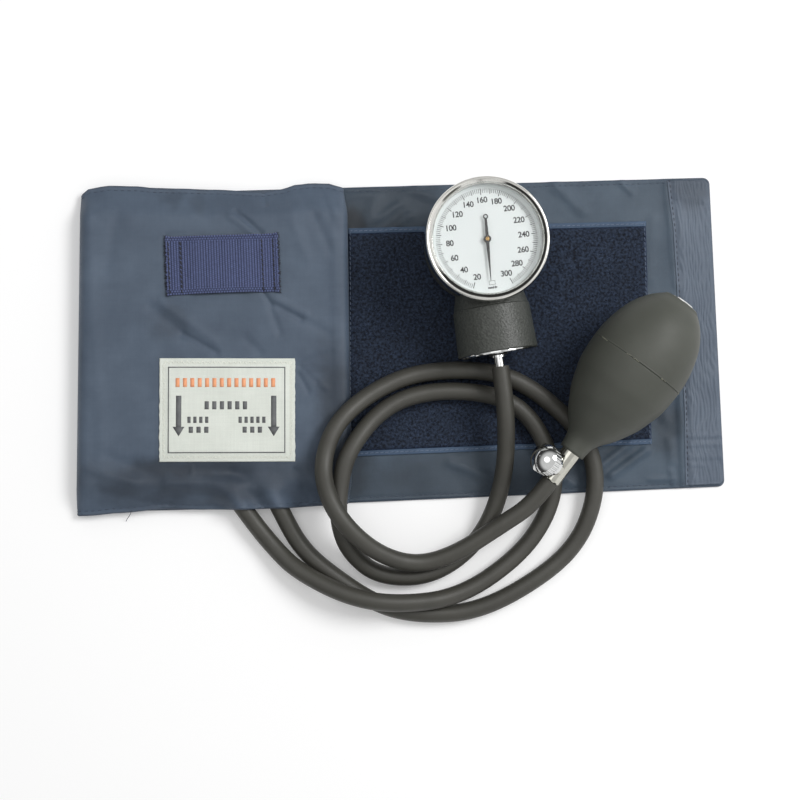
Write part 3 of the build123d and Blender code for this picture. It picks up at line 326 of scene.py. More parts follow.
# Ovals of painted shadow and painted shade: centre and reach in millimetres, and depth.
flap_painted_shades = [((-92, -58.5), (78, 16), 0.46), ((-101, -54), (34, 7), 0.25), ((-31, -36), (15, 48), 0.5),
             ((-106, 12), (13, 10), 0.2), ((-87.5, 67), (5, 8), 0.2), ((-101, 68), (9, 6), 0.2)]
panel_painted_shades = [((-6, 61), (40, 24), 0.42), ((-19, 57), (8, 11), 0.5), ((28, -63), (80, 22), 0.34),
              ((120, -44), (12, 22), 0.4), ((99, -58), (14, 8), 0.25), ((126, 64), (26, 20), 0.1),
              ((-24, -60), (10, 16), 0.4), ((-18, 56), (9, 9), 0.3), ((-2, 55), (8, 7), 0.3)]
facing_painted_shades = [((138, 66), (16, 13), 0.3)]
cloth_finish("slate_nylon", (62, 74, 90), (84, 98, 115), 3600, 0.06, 0.48, 0.12, flap_painted_shades)
cloth_finish("lining_nylon", (51, 65, 79), (75, 90, 105), 3600, 0.06, 0.44, 0.12, panel_painted_shades)
cloth_finish("facing_nylon", (78, 89, 104), (98, 109, 123), 3600, 0.06, 0.46, 0.15, facing_painted_shades)
cloth_finish("selvage_weave", (48, 65, 88), (78, 99, 124), 2200, 0.08, 0.6, 0.2)
cloth_finish("label_weave", (213, 218, 209), (229, 233, 225), 3000, 0.06, 0.6, 0.1)
cloth_finish("hook_weave", (24, 28, 40), (40, 46, 62), 1600, 0.15, 0.7, 0.2)


def fluffy_finish(name, roughness, sheen, colour_of, scale, strength, relief):
    """Cloth with standing fibres: colour_of(tree, place) gives its colour."""
    tree, shader, place = start_finish(
        name, roughness, {"Sheen Weight": sheen, "Sheen Roughness": 0.5, "Specular IOR Level": 0.2}
    )
    fluff = bump(tree, use(tree, grain, place, scale), strength, relief)
    fill(tree, shader, {"Base Color": multiply(tree, *colour_of(tree, place)), "Normal": fluff})
    return tree, shader


def yarn_colour(tree, place):
    """The yarn's colour on top, and painted shade between the yarns, from the mesh's own "rise"."""
    rise = put(tree, "Attribute", output="Fac", attribute_name="rise")
    # The dark colour in the gaps is painted shade between the yarns, not a dye.
    yarn_with_painted_gaps = put(tree, "Mix", {0: rise, 6: paint(5, 7, 19), 7: paint(92, 103, 145)}, 2, data_type="RGBA")
    return yarn_with_painted_gaps, use(tree, mottle, place, 900.0, grey(0.7), grey(1.15), 2.0)


fluffy_finish("strap_weave", 0.62, 0.2, yarn_colour, 2600.0, 0.5, 0.12)
for name, dark, light in (("navy_pile", (12, 16, 25), (48, 59, 77)),
                          ("pile_loops", (24, 32, 47), (66, 81, 107))):
    def pile_colour(tree, place):
        """A tone for each fibre, and wide patches."""
        tone = use(tree, mottle, place, 850.0, paint(*dark), paint(*light), 4.6)
        return tone, use(tree, mottle, place, 45.0, grey(0.74), grey(1.06), 2.2)

    tree, shader = fluffy_finish(name, 0.78, 0.45, pile_colour, 2400.0, 0.6, 0.3)
    fill(tree, shader, {"Sheen Tint": paint(120, 140, 190)})
print("cloths:", list(finishes))

# %% [markdown]
# ## Rubber, paint and thread
# Moulded rubber is matte and never quite even: it has a bloom, fine pores and a little dust.
# Print and sewing thread take the same few nodes with other numbers. The gauge's case wears a
# crinkled dark paint, whose bumps are large enough to catch light one by one.

# %% Rubber, paint and thread
def moulded_finish(name, dark, light, roughness, patch, pores, relief):
    """A matte surface with patches of tone and fine pores."""
    tree, shader, place = start_finish(name, roughness)
    tone_of(tree, shader, place, dark, light, patch, 1.6, roughness + 0.07, roughness - 0.07)
    fill(tree, shader, {"Normal": bump(tree, use(tree, grain, place, pores), 0.5, relief)})


moulded_finish("tube_rubber", (52, 51, 46), (66, 65, 59), 0.52, 60, 1500, 0.04)
moulded_finish("bulb_rubber", (60, 62, 56), (73, 75, 68), 0.60, 34, 1300, 0.04)
moulded_finish("bag_rubber", (40, 41, 42), (58, 59, 60), 0.6, 50, 1200, 0.04)
moulded_finish("washer_rubber", (28, 28, 27), (44, 44, 42), 0.6, 300, 2500, 0.02)
moulded_finish("needle_black", (12, 12, 13), (24, 24, 25), 0.4, 400, 3000, 0.01)
# The hem's nylon is darker than the cloth: painted shade on the rolled bead.
moulded_finish("hem_nylon_painted_shade", (50, 60, 74), (72, 84, 100), 0.52, 300, 2200, 0.05)
moulded_finish("dial_face", (240, 247, 246), (247, 253, 252), 0.42, 90, 2500, 0.01)
moulded_finish("spacer_grey", (212, 217, 216), (230, 234, 233), 0.4, 90, 2500, 0.01)
moulded_finish("dial_ink", (14, 15, 17), (30, 31, 33), 0.5, 400, 2500, 0.01)
moulded_finish("ink_grey", (82, 84, 86), (108, 110, 111), 0.6, 300, 2500, 0.01)
moulded_finish("ink_orange", (236, 150, 104), (246, 178, 136), 0.6, 300, 2500, 0.01)
moulded_finish("rubber_dust", (112, 112, 98), (150, 149, 132), 0.8, 900, 3000, 0.03)
threads = {
    "dark_thread": ((38, 40, 50), (66, 68, 80)), "strap_thread": ((22, 23, 31), (46, 48, 60)),
    "hem_thread": ((44, 52, 66), (68, 78, 94)), "label_thread": ((212, 214, 204), (240, 241, 232)),
    "patch_thread": ((78, 92, 114), (116, 130, 150)),
}
for name, (dark, light) in threads.items():
    moulded_finish(name, dark, light, 0.7, 900, 3000, 0.03)

tree, shader, where = start_finish("crinkle_paint", 0.46)
crinkle = put(tree, "TexVoronoi", {"Vector": where, "Scale": 1100.0}, "Distance", feature="SMOOTH_F1")
tone = use(tree, mottle, where, 1000.0, paint(40, 42, 39), paint(68, 71, 66), 2.2)
fill(tree, shader, {"Base Color": tone, "Normal": bump(tree, crinkle, 0.9, 0.22)})
print(len(finishes), "finishes so far")

# %% [markdown]
# ## Metal and glass
# The bezel, the cap and the knob are chromed and the valve is nickelled. Such metal has hardly
# a colour of its own: what shows is the room around it, softened a little by finger marks, so
# its roughness is mottled. The bezel's face is dished: a bump that rises with the distance
# from the dial's middle tilts the reflections inwards. A lamp would throw no light through a
# glass lens onto the dial, so the glass lets shadow rays pass, as thin glass does.

# %% Metal and glass
def metal_finish(name, dark, light, roughness, patch):
    """A metal whose gloss is uneven from handling or tooling."""
    tree, shader, place = start_finish(name, roughness, {"Metallic": 1.0})
    tone_of(tree, shader, place, dark, light, patch, 1.5, roughness * 0.6, roughness * 1.5)
    return tree, shader, place


metal_finish("chrome", (196, 197, 196), (226, 227, 226), 0.09, 120)
metal_finish("nickel", (172, 171, 162), (202, 201, 192), 0.12, 160)
metal_finish("movement_brass", (168, 132, 78), (206, 172, 112), 0.28, 500)
metal_finish("movement_steel", (140, 142, 144), (182, 184, 186), 0.3, 500)
metal_finish("clip_steel", (160, 161, 162), (200, 201, 202), 0.2, 300)

dial_hub = Vector((35.7, 40.7, 40.1))
tree, shader, where = metal_finish("bezel_chrome", (204, 203, 198), (232, 231, 226), 0.08, 90)
arm = steer(tree, "SUBTRACT", where, (dial_hub.x * MM, dial_hub.y * MM, 0))
reach = steer(tree, "LENGTH", steer(tree, "MULTIPLY", arm, (1, 1, 0)), output="Value")
dish = ramp(tree, reach, 0.0240, 0.0269, 0, 1, ease=smooth)
fill(tree, shader, {"Normal": bump(tree, dish, 1.0, 2.6)})

tree, shader, where = start_finish("lens_glass", 0.02, {"Transmission Weight": 1.0, "IOR": 1.46})
fill(tree, shader, {"Roughness": ramp(tree, use(tree, grain, where, 60.0), 0, 1, 0.0, 0.012)})
rays = put(tree, "LightPath").node.outputs
let_through = calc(tree, "MAXIMUM", rays["Is Shadow Ray"], rays["Is Diffuse Ray"])
glass, clear = tree.nodes["Principled BSDF"].outputs[0], put(tree, "BsdfTransparent")
either = put(tree, "MixShader", (let_through, glass, clear))
fill(tree, tree.nodes["Material Output"].inputs, {"Surface": either})
print("metals and glass are ready")

# %% [markdown]
# ## Finishing what came with the frame
# Every piece of the frame that stays in view gets its finish by name. Even the gear train
# behind the dial gets brass and steel, since someone may open the gauge.

# %% Finishing what came with the frame
frame_finishes = {
    "crinkle_paint": "gauge_case",
    "bezel_chrome": "bezel",
    "chrome": "drum_cap gauge_nipple release_knob end_valve_body",
    "nickel": "valve_body",
    "lens_glass": "lens",
    "dial_face": "dial",
    "spacer_grey": "spacer_ring",
    "washer_rubber": "nipple_washer check_seat",
    "needle_black": "needle",
    "movement_brass": "needle_hub pinion collet sector_gear movement_lower_plate movement_upper_plate "
                      "capsule_lower capsule_upper end_valve_cage",
    "movement_steel": "movement_pillars movement_screws hairspring spring_stud sector_arbor sector_lever "
                      "tail_pin push_pin release_stem check_ball end_valve_ball",
    "clip_steel": "back_clip clip_screws",
}
for name, nodes in frame_finishes.items():
    for node in nodes.split():
        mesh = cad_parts[node].data
        mesh.materials.clear()
        mesh.materials.append(finishes[name])
for tube in (gauge_tube, bulb_tube):
    tube.data.materials.append(finishes["tube_rubber"])
print("finished", sum(len(nodes.split()) for nodes in frame_finishes.values()), "pieces of the frame")

# %% [markdown]
# ## How the cuff is rolled
# The cuff is two cloths sewn together round a rubber bag, folded back at the left end and
# under again at the right of the flap. A cloth simulation could fold it, but never along the
# photograph's own lines, so the folding is a function: `u` runs along the flat cloth from its
# open end, `y` across it, and `off` is how far a point lies off the middle of the two cloths.
# Every sewn piece, hem and stitch then lands on the same folds.

# %% How the cuff is rolled
flap_at, flap_turn = -85.7, math.radians(-1.4)
open_end, fold_left, fold_right, tuck_left = 233.2, -54.75, 56.1, -49.9
half_width, corner = 72.25, 3.0
base_mid, flap_mid, tuck_mid = 0.6, 8.8, 4.4
left_radius, right_radius = (flap_mid - base_mid) / 2, (flap_mid - tuck_mid) / 2
base_run = open_end - fold_left
left_bend = base_run + math.pi * left_radius
flap_run = left_bend + fold_right - fold_left
right_bend = flap_run + math.pi * right_radius
cloth_length = right_bend + fold_right - tuck_left
print("the cloth is", round(cloth_length, 1), "mm long before it is rolled")


def soft(share):
    """0 below 0, 1 above 1 and a smooth rise between."""
    share = min(max(share, 0.0), 1.0)
    return share * share * (3 - 2 * share)


def bell(away, width):
    """1 at a line, and soft to nothing on both sides of it."""
    return math.exp(-((away / width) ** 2))


def rolled(u):
    """Along, height and outward direction of the cloth's middle, u from its open end."""
    if u < base_run:
        return open_end - u, base_mid, 0.0, -1.0
    if u < left_bend:
        turned = (u - base_run) / left_radius
        across, rise = math.sin(turned), math.cos(turned)
        return fold_left - left_radius * across, base_mid + left_radius * (1 - rise), -across, -rise
    if u < flap_run:
        return fold_left + u - left_bend, flap_mid, 0.0, 1.0
    if u < right_bend:
        turned = (u - flap_run) / right_radius
        across, rise = math.sin(turned), math.cos(turned)
        return fold_right + right_radius * across, flap_mid - right_radius * (1 - rise), across, rise
    return fold_right - (u - right_bend), tuck_mid, 0.0, -1.0


def half_thickness(u, y):
    """Half the distance between the outer faces: the bag puffs it up, the hem seam draws it in."""
    puff = soft((u - base_run) / (left_bend - base_run)) * soft((cloth_length - u) / 10)
    from_hem = half_width - abs(y)
    return 0.6 + 1.1 * puff * soft(from_hem / 12) - 0.12 * bell(from_hem - 2.0, 0.8)


# %% [markdown]
# ## Creases
# The cloth pulls into creases at the strap's stitches, sags below the label and ripples along
# the fold. Each crease is a soft ridge or valley along a line: its two ends, its width and its
# rise in millimetres. A broad noise fills the rest. The open panel lies on the table, so there
# the cloth can only rise.

# %% Creases
flap_creases = [
    (-73.5, 61.6, -62.6, 50.9, 1.1, -1.15), (-76, 59, -65.5, 50.6, 1.5, 0.6), (-60.7, 71, -60, 64, 1.0, -0.8),
    (-62.3, 24, -59.3, 18.8, 1.0, -1.2), (-58, 18.6, -46, 11.6, 1.3, -0.75), (-57, 21, -44, 13.6, 1.5, 0.55),
    (-46, 11.6, -34, 4.5, 2.0, -0.45), (-59.6, 16.7, -55.8, 5.3, 1.7, -0.6),
    (-112.6, 18.5, -99.4, 6.8, 3.0, -0.9), (-99.4, 6.8, -84.3, -2.3, 1.3, -0.95),
    (-108, 21, -85, 2.5, 2.0, 0.5), (-88.6, 70, -87, 62, 3.0, -0.6), (-104, 70, -97, 63, 3.4, -0.6),
    (-47.7, -9.7, -40, -17, 1.2, -0.75), (-48.3, -13.1, -44, -21.5, 1.2, -0.65),
    (-46, -11.5, -36, -20, 1.4, 0.55), (-46, -8, -32.9, -4.2, 1.8, -0.5), (-28.6, 62, -30.2, -25, 2.2, 0.5),
    (-49.4, 59.8, -42.4, 39.6, 3.0, 0.4), (-45, 70, -38, 58, 2.2, -0.6), (-38, 58, -31, 41, 2.0, -0.5),
    (-34, 67, -28, 51, 1.8, -0.5), (-126, 62, -132, 37, 3.5, -0.45), (-97.5, 51.7, -105, 51, 1.2, -0.5),
    (-122, -51.2, -74.4, -56.6, 4.2, -1.2), (-134.4, -47.2, -112, -58.4, 3.0, -0.8),
    (-109, -70.5, -80, -65.8, 2.4, 0.95), (-79.5, -56.4, -54.4, -69.5, 2.4, -0.8),
    (-58.5, -65, -68, -70.6, 1.5, 0.85), (-50.5, -57, -43.3, -71.7, 2.4, -1.1),
    (-37, -44, -31, -64, 3.0, 0.6), (-144.6, -51.1, -122, -59.7, 2.2, 0.75),
    (-115.7, -68.5, -108, -69.3, 1.2, -0.9), (-97.3, -53, -97.4, -56, 0.9, 0.4),
    (-108.6, -60.3, -71.2, -62.7, 2.4, 0.6), (-138, -62, -120, -67, 2.2, -0.6), (-71, 3, -65, -3, 2.0, -0.5),
    (-140, 60, -136, -60, 3.0, 0.35),
]
panel_creases = [
    (104.2, -50.2, 89, -60.8, 1.7, 1.2), (111, -54.2, 94.5, -65, 1.9, 1.5),
    (128.5, -20, 127.8, -70.5, 1.3, 0.8), (126.9, 69.7, 129.3, 21.8, 1.3, 0.6),
    (131, -48.3, 147, -48.5, 1.0, 0.65), (131, -52.2, 147, -52.6, 1.1, 0.55),
    (132, -58.2, 146.3, -58.4, 1.1, 0.45), (131.3, -61.6, 137, -61.8, 0.9, 0.4),
    (112.3, -67.6, 123.3, -67.8, 1.2, 0.5), (122.6, -64, 123.2, -70, 1.4, 0.7),
    (122.4, -50, 123.4, -60, 2.0, 0.6), (-9, 57, 0.2, 63.2, 1.7, 1.1), (-3, 52.6, 6, 58.6, 1.8, 1.0),
    (-13, 56, -9.5, 67, 2.6, 1.0), (2.6, 64, 4.2, 69, 1.5, 0.6), (-21, 68, -13, 69, 2.0, 0.5),
    (8, 70, 26, 63, 2.4, 0.8), (74, 71, 87, 58, 2.6, 0.8), (105.5, 71, 110.5, 66, 1.5, 0.6),
    (120, 53, 117, 26, 2.8, 0.6), (118, 12, 127, -14, 2.6, 0.6), (131, 63.5, 146, 61, 1.3, 0.4),
    (20, -56, 44, -66, 2.2, 0.8), (60, -57, 76, -68, 2.2, 0.7), (116, -20, 121, -40, 2.2, 0.6),
]
seam_line = [(72.3, 128.1), (44.8, 129.9), (-31.5, 131.0), (-71.7, 129.8)]


def between(points, x):
    """A value read off a list of points, smooth from each to the next."""
    for (x0, v0), (x1, v1) in zip(points, points[1:]):
        if (x - x0) * (x - x1) <= 0:
            return v0 + (v1 - v0) * soft((x - x0) / (x1 - x0))
    return points[0][1] if abs(x - points[0][0]) < abs(x - points[-1][0]) else points[-1][1]


def ruffle(*place):
    """Soft noise at a place."""
    return noise.noise(Vector(place))


def crease_height(creases, x, y):
    """The sum of the ridges and valleys at a point."""
    height = 0.0
    for x0, y0, x1, y1, width, rise in creases:
        dx, dy = x1 - x0, y1 - y0
        share = ((x - x0) * dx + (y - y0) * dy) / (dx * dx + dy * dy)
        if -0.5 < share < 1.5:
            held = min(max(share, 0.0), 1.0)
            far = math.hypot(x - x0 - held * dx, y - y0 - held * dy) / width
            if far < 3:
                height += rise * math.exp(-far * far)
    return height


def flap_relief(x, y):
    """How far the flap's cloth stands off the bag."""
    wide, fine = ruffle(x / 34, y / 30, 1.7) * 0.55, ruffle(x / 11, y / 14, 5.2) * 0.16
    return crease_height(flap_creases, x, y) + wide + fine


def panel_relief(x, y):
    """How far the open panel lifts off the table."""
    wide = abs(ruffle(x / 30, y / 24, 8.1)) * 0.8
    away = abs(x - between(seam_line, y))
    seam = 0.45 * (1 - bell(away, 1.1)) * bell(away, 5)
    waves = 0.0
    if x > 130:
        wander = 2.2 * ruffle(x / 9, y / 16, 3.3)
        waves = 0.10 * (1 + math.sin(2.2 * x + 0.5 * y + 3 * wander)) * soft((x - 130) / 2)
    return max(crease_height(panel_creases, x, y), 0) + wide + seam + waves


print(len(flap_creases), "creases on the flap and", len(panel_creases), "on the panel")

# %% [markdown]
# ## From flat cloth to its place
# `place` ties it all together. The layers are thick where the bag is and settle onto each
# other towards the sewn hems. Two tubes leave through the lower hem: what lies above them is
# pushed up and what lies below is pushed down. The flap's edges aren't straight either, and
# follow two short lists of offsets.

# %% From flat cloth to its place
top_wave = [(-150, -4.5), (-143.5, -2.2), (-138, 0.9), (-130, 2.0), (-118, 1.7), (-110, 0.95), (-99, 0.65),
            (-84, 0.1), (-61, -1.0), (-53, 0.15), (-45, 2.3), (-38.5, 2.9), (-31, 2.7), (-25.5, 1.2),
            (-22, -0.8)]
low_wave = [(-150, -2.1), (-144, -2.0), (-131, -1.05), (-110, 0.35), (-93, -0.25), (-77, -0.45), (-56, -0.2),
            (-36, 0.5), (-29, 0.9), (-22, 1.2)]
hem_reach, hem_squash, fold_reach, tube_reach = 14, 0.55, 14, 6.2
exits = [(Vector(start), (Vector(after) - Vector(start)).normalized())
         for start, after, *_ in (to_gauge, to_bulb)]


def over_tubes(x, y, z, above):
    """Pushes a layer over or under the tubes where they leave the hem."""
    near = soft((-56 - y) / 9)
    if near > 0:
        for start, way in exits:
            bulge = near * bell((x - start.x) * way.y - (y - start.y) * way.x, tube_reach)
            eased = (z - start.z) * (1 - bulge)
            if above:
                z = max(z, start.z + (tube_radius + above) * bulge + eased)
            else:
                z = min(z, start.z - (tube_radius + 0.3) * bulge + eased)
    return z


def place(u, y, off):
    """A point of the rolled cuff in millimetres: off is its distance from the middle of the cloths."""
    along, z, out_x, out_z = rolled(u)
    from_hem = half_width - abs(y)
    hemward = 1 - soft(from_hem / hem_reach)
    z = base_mid + (z - base_mid) * (1 - hem_squash * hemward) + out_z * off
    along += out_x * off - (0.55 + 0.8 * hemward) * bell(u - base_run - 13, fold_reach)
    along += (1.3 - 0.3 * hemward) * bell(u - flap_run - 4, fold_reach)
    on_fold = soft((u - base_run + 60) / 60)
    x_fold = flap_at + along * math.cos(flap_turn) - y * math.sin(flap_turn)
    y_fold = along * math.sin(flap_turn) + y * math.cos(flap_turn)
    x = (flap_at + along) * (1 - on_fold) + x_fold * on_fold
    y_new = y * (1 - on_fold) + y_fold * on_fold
    x += 0.021 * y * soft((-90 - x) / 50)
    if u > base_run - 20:
        edge = soft((abs(y) - 52) / 20)
        y_new += edge * between(top_wave if y > 0 else low_wave, x) * soft((u - base_run + 20) / 20)
    if u < base_run:
        z += panel_relief(x, y_new) * soft((x + 40) / 15)
    elif u < flap_run + 2 and off > 0:
        lifted = soft((u - left_bend + 6) / 8) * soft((flap_run + 2 - u) / 6)
        z += flap_relief(x, y_new) * lifted * (0.35 + 0.65 * soft(from_hem / 8))
    if left_bend - 4 < u < flap_run:
        z = over_tubes(x, y_new, z, 1.6 + 0.5 * (off > 0) + max(off, 0) * 0.5)
    elif u > right_bend:
        z = over_tubes(x, y_new, z, 0.7 if off < 0 else 0)
    return Vector((x, y_new, z))


for u in (0, 200, base_run, left_bend, flap_run, right_bend, cloth_length):
    print("u", round(u), "lies at", [round(c, 1) for c in place(u, 0, 0)])

# %% [markdown]
# ## Cutting and rolling cloth
# A cloth is cut as a flat grid, with more rows where it will bend, and each of its points is
# then moved to its place on the roll. The UV map keeps the flat cut. A Solidify modifier gives
# the cloth its wall, evenly to both sides, which is easier than modelling two faces.

# %% Cutting and rolling cloth
outer_rows = [(0, 0), (40, 16), (base_run, 100), (left_bend, 112), (flap_run, 252), (right_bend, 262),
              (cloth_length, 286)]
inner_rows = [(0, 0), (130, 112), (250, 168), (base_run, 178), (left_bend, 190), (flap_run, 226),
              (right_bend, 236), (cloth_length, 262)]
columns_in = [(-1, 0), (-0.93, 11), (0.93, 153), (1, 164)]
cloth_wall = 0.5


def spaced(table, step):
    """Where a row or column lies: they crowd at the folds and at the hems."""
    for (v0, s0), (v1, s1) in zip(table, table[1:]):
        if step <= s1:
            return v0 + (v1 - v0) * (step - s0) / (s1 - s0)
    return table[-1][0]


def cut_cloth(columns, rows, spot, flat=None):
    """A grid laid in place: spot and flat give a point's place and its place on the cut, in mm."""
    cloth = bmesh.new()
    bmesh.ops.create_grid(cloth, x_segments=columns, y_segments=rows, size=0.5)
    bmesh.ops.translate(cloth, vec=(0.5, 0.5, 0), verts=cloth.verts)
    bmesh.ops.scale(cloth, vec=(columns, rows, 1), verts=cloth.verts)
    if flat:
        layer = cloth.loops.layers.uv.new("cloth")
        for face in cloth.faces:
            for loop in face.loops:
                loop[layer].uv = [c * MM for c in flat(loop.vert.co.x, loop.vert.co.y)]
    for point in cloth.verts:
        point.co = Vector(spot(point.co.x, point.co.y)) * MM
    return cloth


def make_piece(name, shape, finish, stands_for=(), wall=0, offset=0):
    """Turns a bmesh into a finished piece of the cuff's body, with a wall where it is cloth."""
    mesh = bpy.data.meshes.new(name)
    shape.to_mesh(mesh)
    shape.free()
    mesh.shade_smooth()
    mesh.materials.clear()
    mesh.materials.append(finishes[finish])
    piece = show(name, mesh)
    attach(piece, "cuff_set")
    if stands_for:
        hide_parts(*stands_for)
    if wall:
        solidify = piece.modifiers.new("thickness", "SOLIDIFY")
        solidify.thickness = wall * MM
        solidify.offset = offset
        solidify.use_even_offset = False
    print(name, "has", len(mesh.polygons), "faces")
    return piece


def roll_cloth(name, rows, finish, side, node):
    """One cloth of the cuff: side is 1 for the outer one and -1 for the inner one."""
    def flat(row, column):
        return max(spaced(rows, row), 0.4), spaced(columns_in, column) * (half_width - 0.4)

    def spot(row, column):
        u, y = flat(row, column)
        if u < corner:
            y *= 1 - (corner - math.sqrt(corner**2 - (corner - u) ** 2)) / half_width
        return place(u, y, side * (half_thickness(u, y) - cloth_wall / 2))

    cloth = cut_cloth(rows[-1][1], columns_in[-1][1], spot, flat)
    return make_piece(name, cloth, finish, [node], cloth_wall)


outer_cloth = roll_cloth("outer_cloth", outer_rows, "slate_nylon", 1, "cuff_cover")
inner_cloth = roll_cloth("inner_cloth", inner_rows, "lining_nylon", -1, "cuff_lining")

# %% [markdown]
# ## The bag inside
# A flat rubber bag lies between the two cloths wherever the cuff is folded. It shows only where
# a hem gapes, but it carries the tubes and makes the flap look padded. Inflating a closed mesh
# would push through the cloth, so its two faces are grids laid just inside the cloths and
# bridged round the edge.

# %% The bag inside
bag_start, bag_end, bag_half = left_bend + 4, cloth_length - 14, 64.5


def add_part(shape, part):
    """Moves one bmesh into another."""
    holder = bpy.data.meshes.new("part")
    part.to_mesh(holder)
    part.free()
    shape.from_mesh(holder)
    bpy.data.meshes.remove(holder)


def make_bag():
    """The bladder: two rolled faces joined round their edges."""
    bag = bmesh.new()
    rows, columns = 150, 40
    for side in (1, -1):
        def spot(row, column):
            u = bag_start + (bag_end - bag_start) * row / rows
            y = bag_half * (2 * column / columns - 1)
            rim = min(u - bag_start, bag_end - u, bag_half - abs(y))
            off = side * (0.12 + (half_thickness(u, y) - 0.95) * soft(rim / 3))
            lies = place(u, y, off)
            if side == 1 and u < flap_run:
                around = [place(u + a, y + b, off).z for a, b in ((2, 0), (-2, 0), (0, 2), (0, -2))]
                lies.z = min(lies.z, *around)
            return lies

        add_part(bag, cut_cloth(rows, columns, spot))
    bmesh.ops.bridge_loops(bag, edges=[edge for edge in bag.edges if edge.is_boundary])
    bmesh.ops.recalc_face_normals(bag, faces=bag.faces)
    return bag


bladder_bag = make_piece("bladder_bag", make_bag(), "bag_rubber", ["bladder"])

# %% [markdown]
# ## Threads
# Stitches, loose ends and the loops of the fastener are all short threads. A small mesh for
# each would be slow, but one curve object can hold thousands of short splines with their own
# thickness at each point, and it is turned into a mesh once.

# %% Threads
def spin_threads(name, runs, radius, finish, roundness=1, ends=(1, 1)):
    """Many short threads as one mesh: a run is a list of places, ends are the shares at its ends."""
    curve = bpy.data.curves.new(name, "CURVE")
    curve.dimensions = "3D"
    curve.bevel_depth = radius * MM
    curve.bevel_resolution = roundness
    curve.use_fill_caps = True
    for run in runs:
        spline = curve.splines.new("POLY")
        spline.points.add(len(run) - 1)
        for point, spot in zip(spline.points, run):
            point.co = (*(Vector(spot) * MM), 1)
        spline.points[0].radius, spline.points[-1].radius = ends
    holder = bpy.data.objects.new(name, curve)
    shape = bmesh.new()
    shape.from_mesh(bpy.data.meshes.new_from_object(holder))
    bpy.data.objects.remove(holder)
    return make_piece(name, shape, finish)


def march(line, pitch, length):
    """Start, quarter points and end of each stitch along a line of 2-D points."""
    line = [Vector(point) for point in line]
    gaps = [(b - a).length for a, b in zip(line, line[1:])]

    def at(distance):
        for a, b, gap in zip(line, line[1:], gaps):
            if distance <= gap:
                return a.lerp(b, distance / gap)
            distance -= gap
        return line[-1]

    count = int(sum(gaps) / pitch)
    return [[at((i + 0.1) * pitch + length * share) for share in (0, 0.25, 0.75, 1)] for i in range(count)]


def surface_of(*pieces):
    """Finished surfaces as a tree that rays can be cast at."""
    shape = bmesh.new()
    graph = bpy.context.evaluated_depsgraph_get()
    for piece in pieces:
        shape.from_object(piece, graph)
    return BVHTree.FromBMesh(shape)


def upon(surface, x, y, lift):
    """The place that far above the first surface met from above, in millimetres."""
    hit = surface.ray_cast(Vector((x * MM, y * MM, 0.3)), Vector((0, 0, -1)))[0]
    return Vector((x, y, (hit.z / MM if hit else 0.0) + lift))


def stitch(surface, line, pitch, length, lift, slants=(0,), dip=0.25, where=lambda x, y: (x, y)):
    """Stitches along a line of (x, y) points that dip into a surface at both ends."""
    runs = []
    for number, spots in enumerate(march(line, pitch, length)):
        way = (spots[-1] - spots[0]).normalized()
        side = Vector((-way.y, way.x)) * slants[number % len(slants)]
        runs.append([upon(surface, *where(*(spot + side * share)), lift - dip * (abs(share) == 1))
                     for spot, share in zip(spots, (-1, -0.5, 0.5, 1))])
    return runs


def outline(inset):
    """The cuff's sewn outline as (u, y) points, a given way in from the edge."""
    bend = max(corner - inset, 0.6)
    high = half_width - inset
    steps = [inset + bend + i * 3.0 for i in range(int((cloth_length - 2 * inset - bend) / 3.0) + 1)]
    arc = [math.radians(90 * i / 5) for i in range(6)]
    upper = [(inset + bend - bend * math.sin(a), high - bend + bend * math.cos(a)) for a in arc]
    lower = [(u, -y) for u, y in reversed(upper)]
    return [(u, high) for u in reversed(steps)] + upper + lower + [(u, -high) for u in steps]


stitch_ends = (0.6, 0.6)
print("the sewn outline has", len(outline(2.0)), "points")

# %% [markdown]
# ## The hem
# At the edge both cloths are turned in and sewn through. The turned edge is a soft bead of
# nylon, coloured darker than the cloth as painted shade on its roll, and a row of stitches runs
# two millimetres inside it on both faces. Painted stitches would look flat at the rim, so both
# are threads, and each stitch dips into the cloth at its ends.

# %% The hem
hem_path = [place(u, y, 0) for u, y in outline(0.5)]
spin_threads("hem_bead", [hem_path + hem_path[:1]], 0.62, "hem_nylon_painted_shade", 3)
hem_runs = [[place(u, y, face * (half_thickness(u, y) + depth))
             for (u, y), depth in zip(spots, (-0.2, 0.03, 0.03, -0.2))]
            for face in (1, -1) for spots in march(outline(2.0), 2.9, 2.1)]
spin_threads("hem_stitches", hem_runs, 0.17, "hem_thread", ends=stitch_ends)

# %% [markdown]
# ## The facing at the open end
# The last two centimetres of the panel are a second layer of nylon, turned over and sewn down
# along one seam. Two thin weaves on each other shimmer in wandering lines, like wood grain.
# Here the lines are fine ripples in the cloth itself, so that they catch the light.

# %% The facing at the open end
lining_surface = surface_of(inner_cloth)
facing_columns, facing_rows = 84, 250


def facing_spot(column, row):
    """Where a point of the facing lies, seen from above, in millimetres."""
    y = (half_width - 1.1) * (2 * row / facing_rows - 1)
    start = between(seam_line, y) - 0.9
    reach = 147.0 - 3.0 * (1 - soft((half_width - abs(y)) / 3.4))
    return start + (reach - start) * column / facing_columns, y


def facing_place(column, row):
    """The same point on the lining, with its slack and its shimmering ripples."""
    x, y = facing_spot(column, row)
    held = soft((x - between(seam_line, y) - 0.6) / 2.5) * soft((147.2 - x) / 2)
    wander = ruffle(x / 7, y / 15, 3.3) * 1.5 + ruffle(x / 3, y / 6, 7.3) * 0.35
    shimmer = 0.075 * (1 + math.sin(2 * math.pi * (x / 1.5 + wander + y / 60))) * held
    slack = 0.25 * (1 + ruffle(x / 11, y / 9, 2.2)) * held
    return upon(lining_surface, x, y, 0.22 + shimmer + slack)


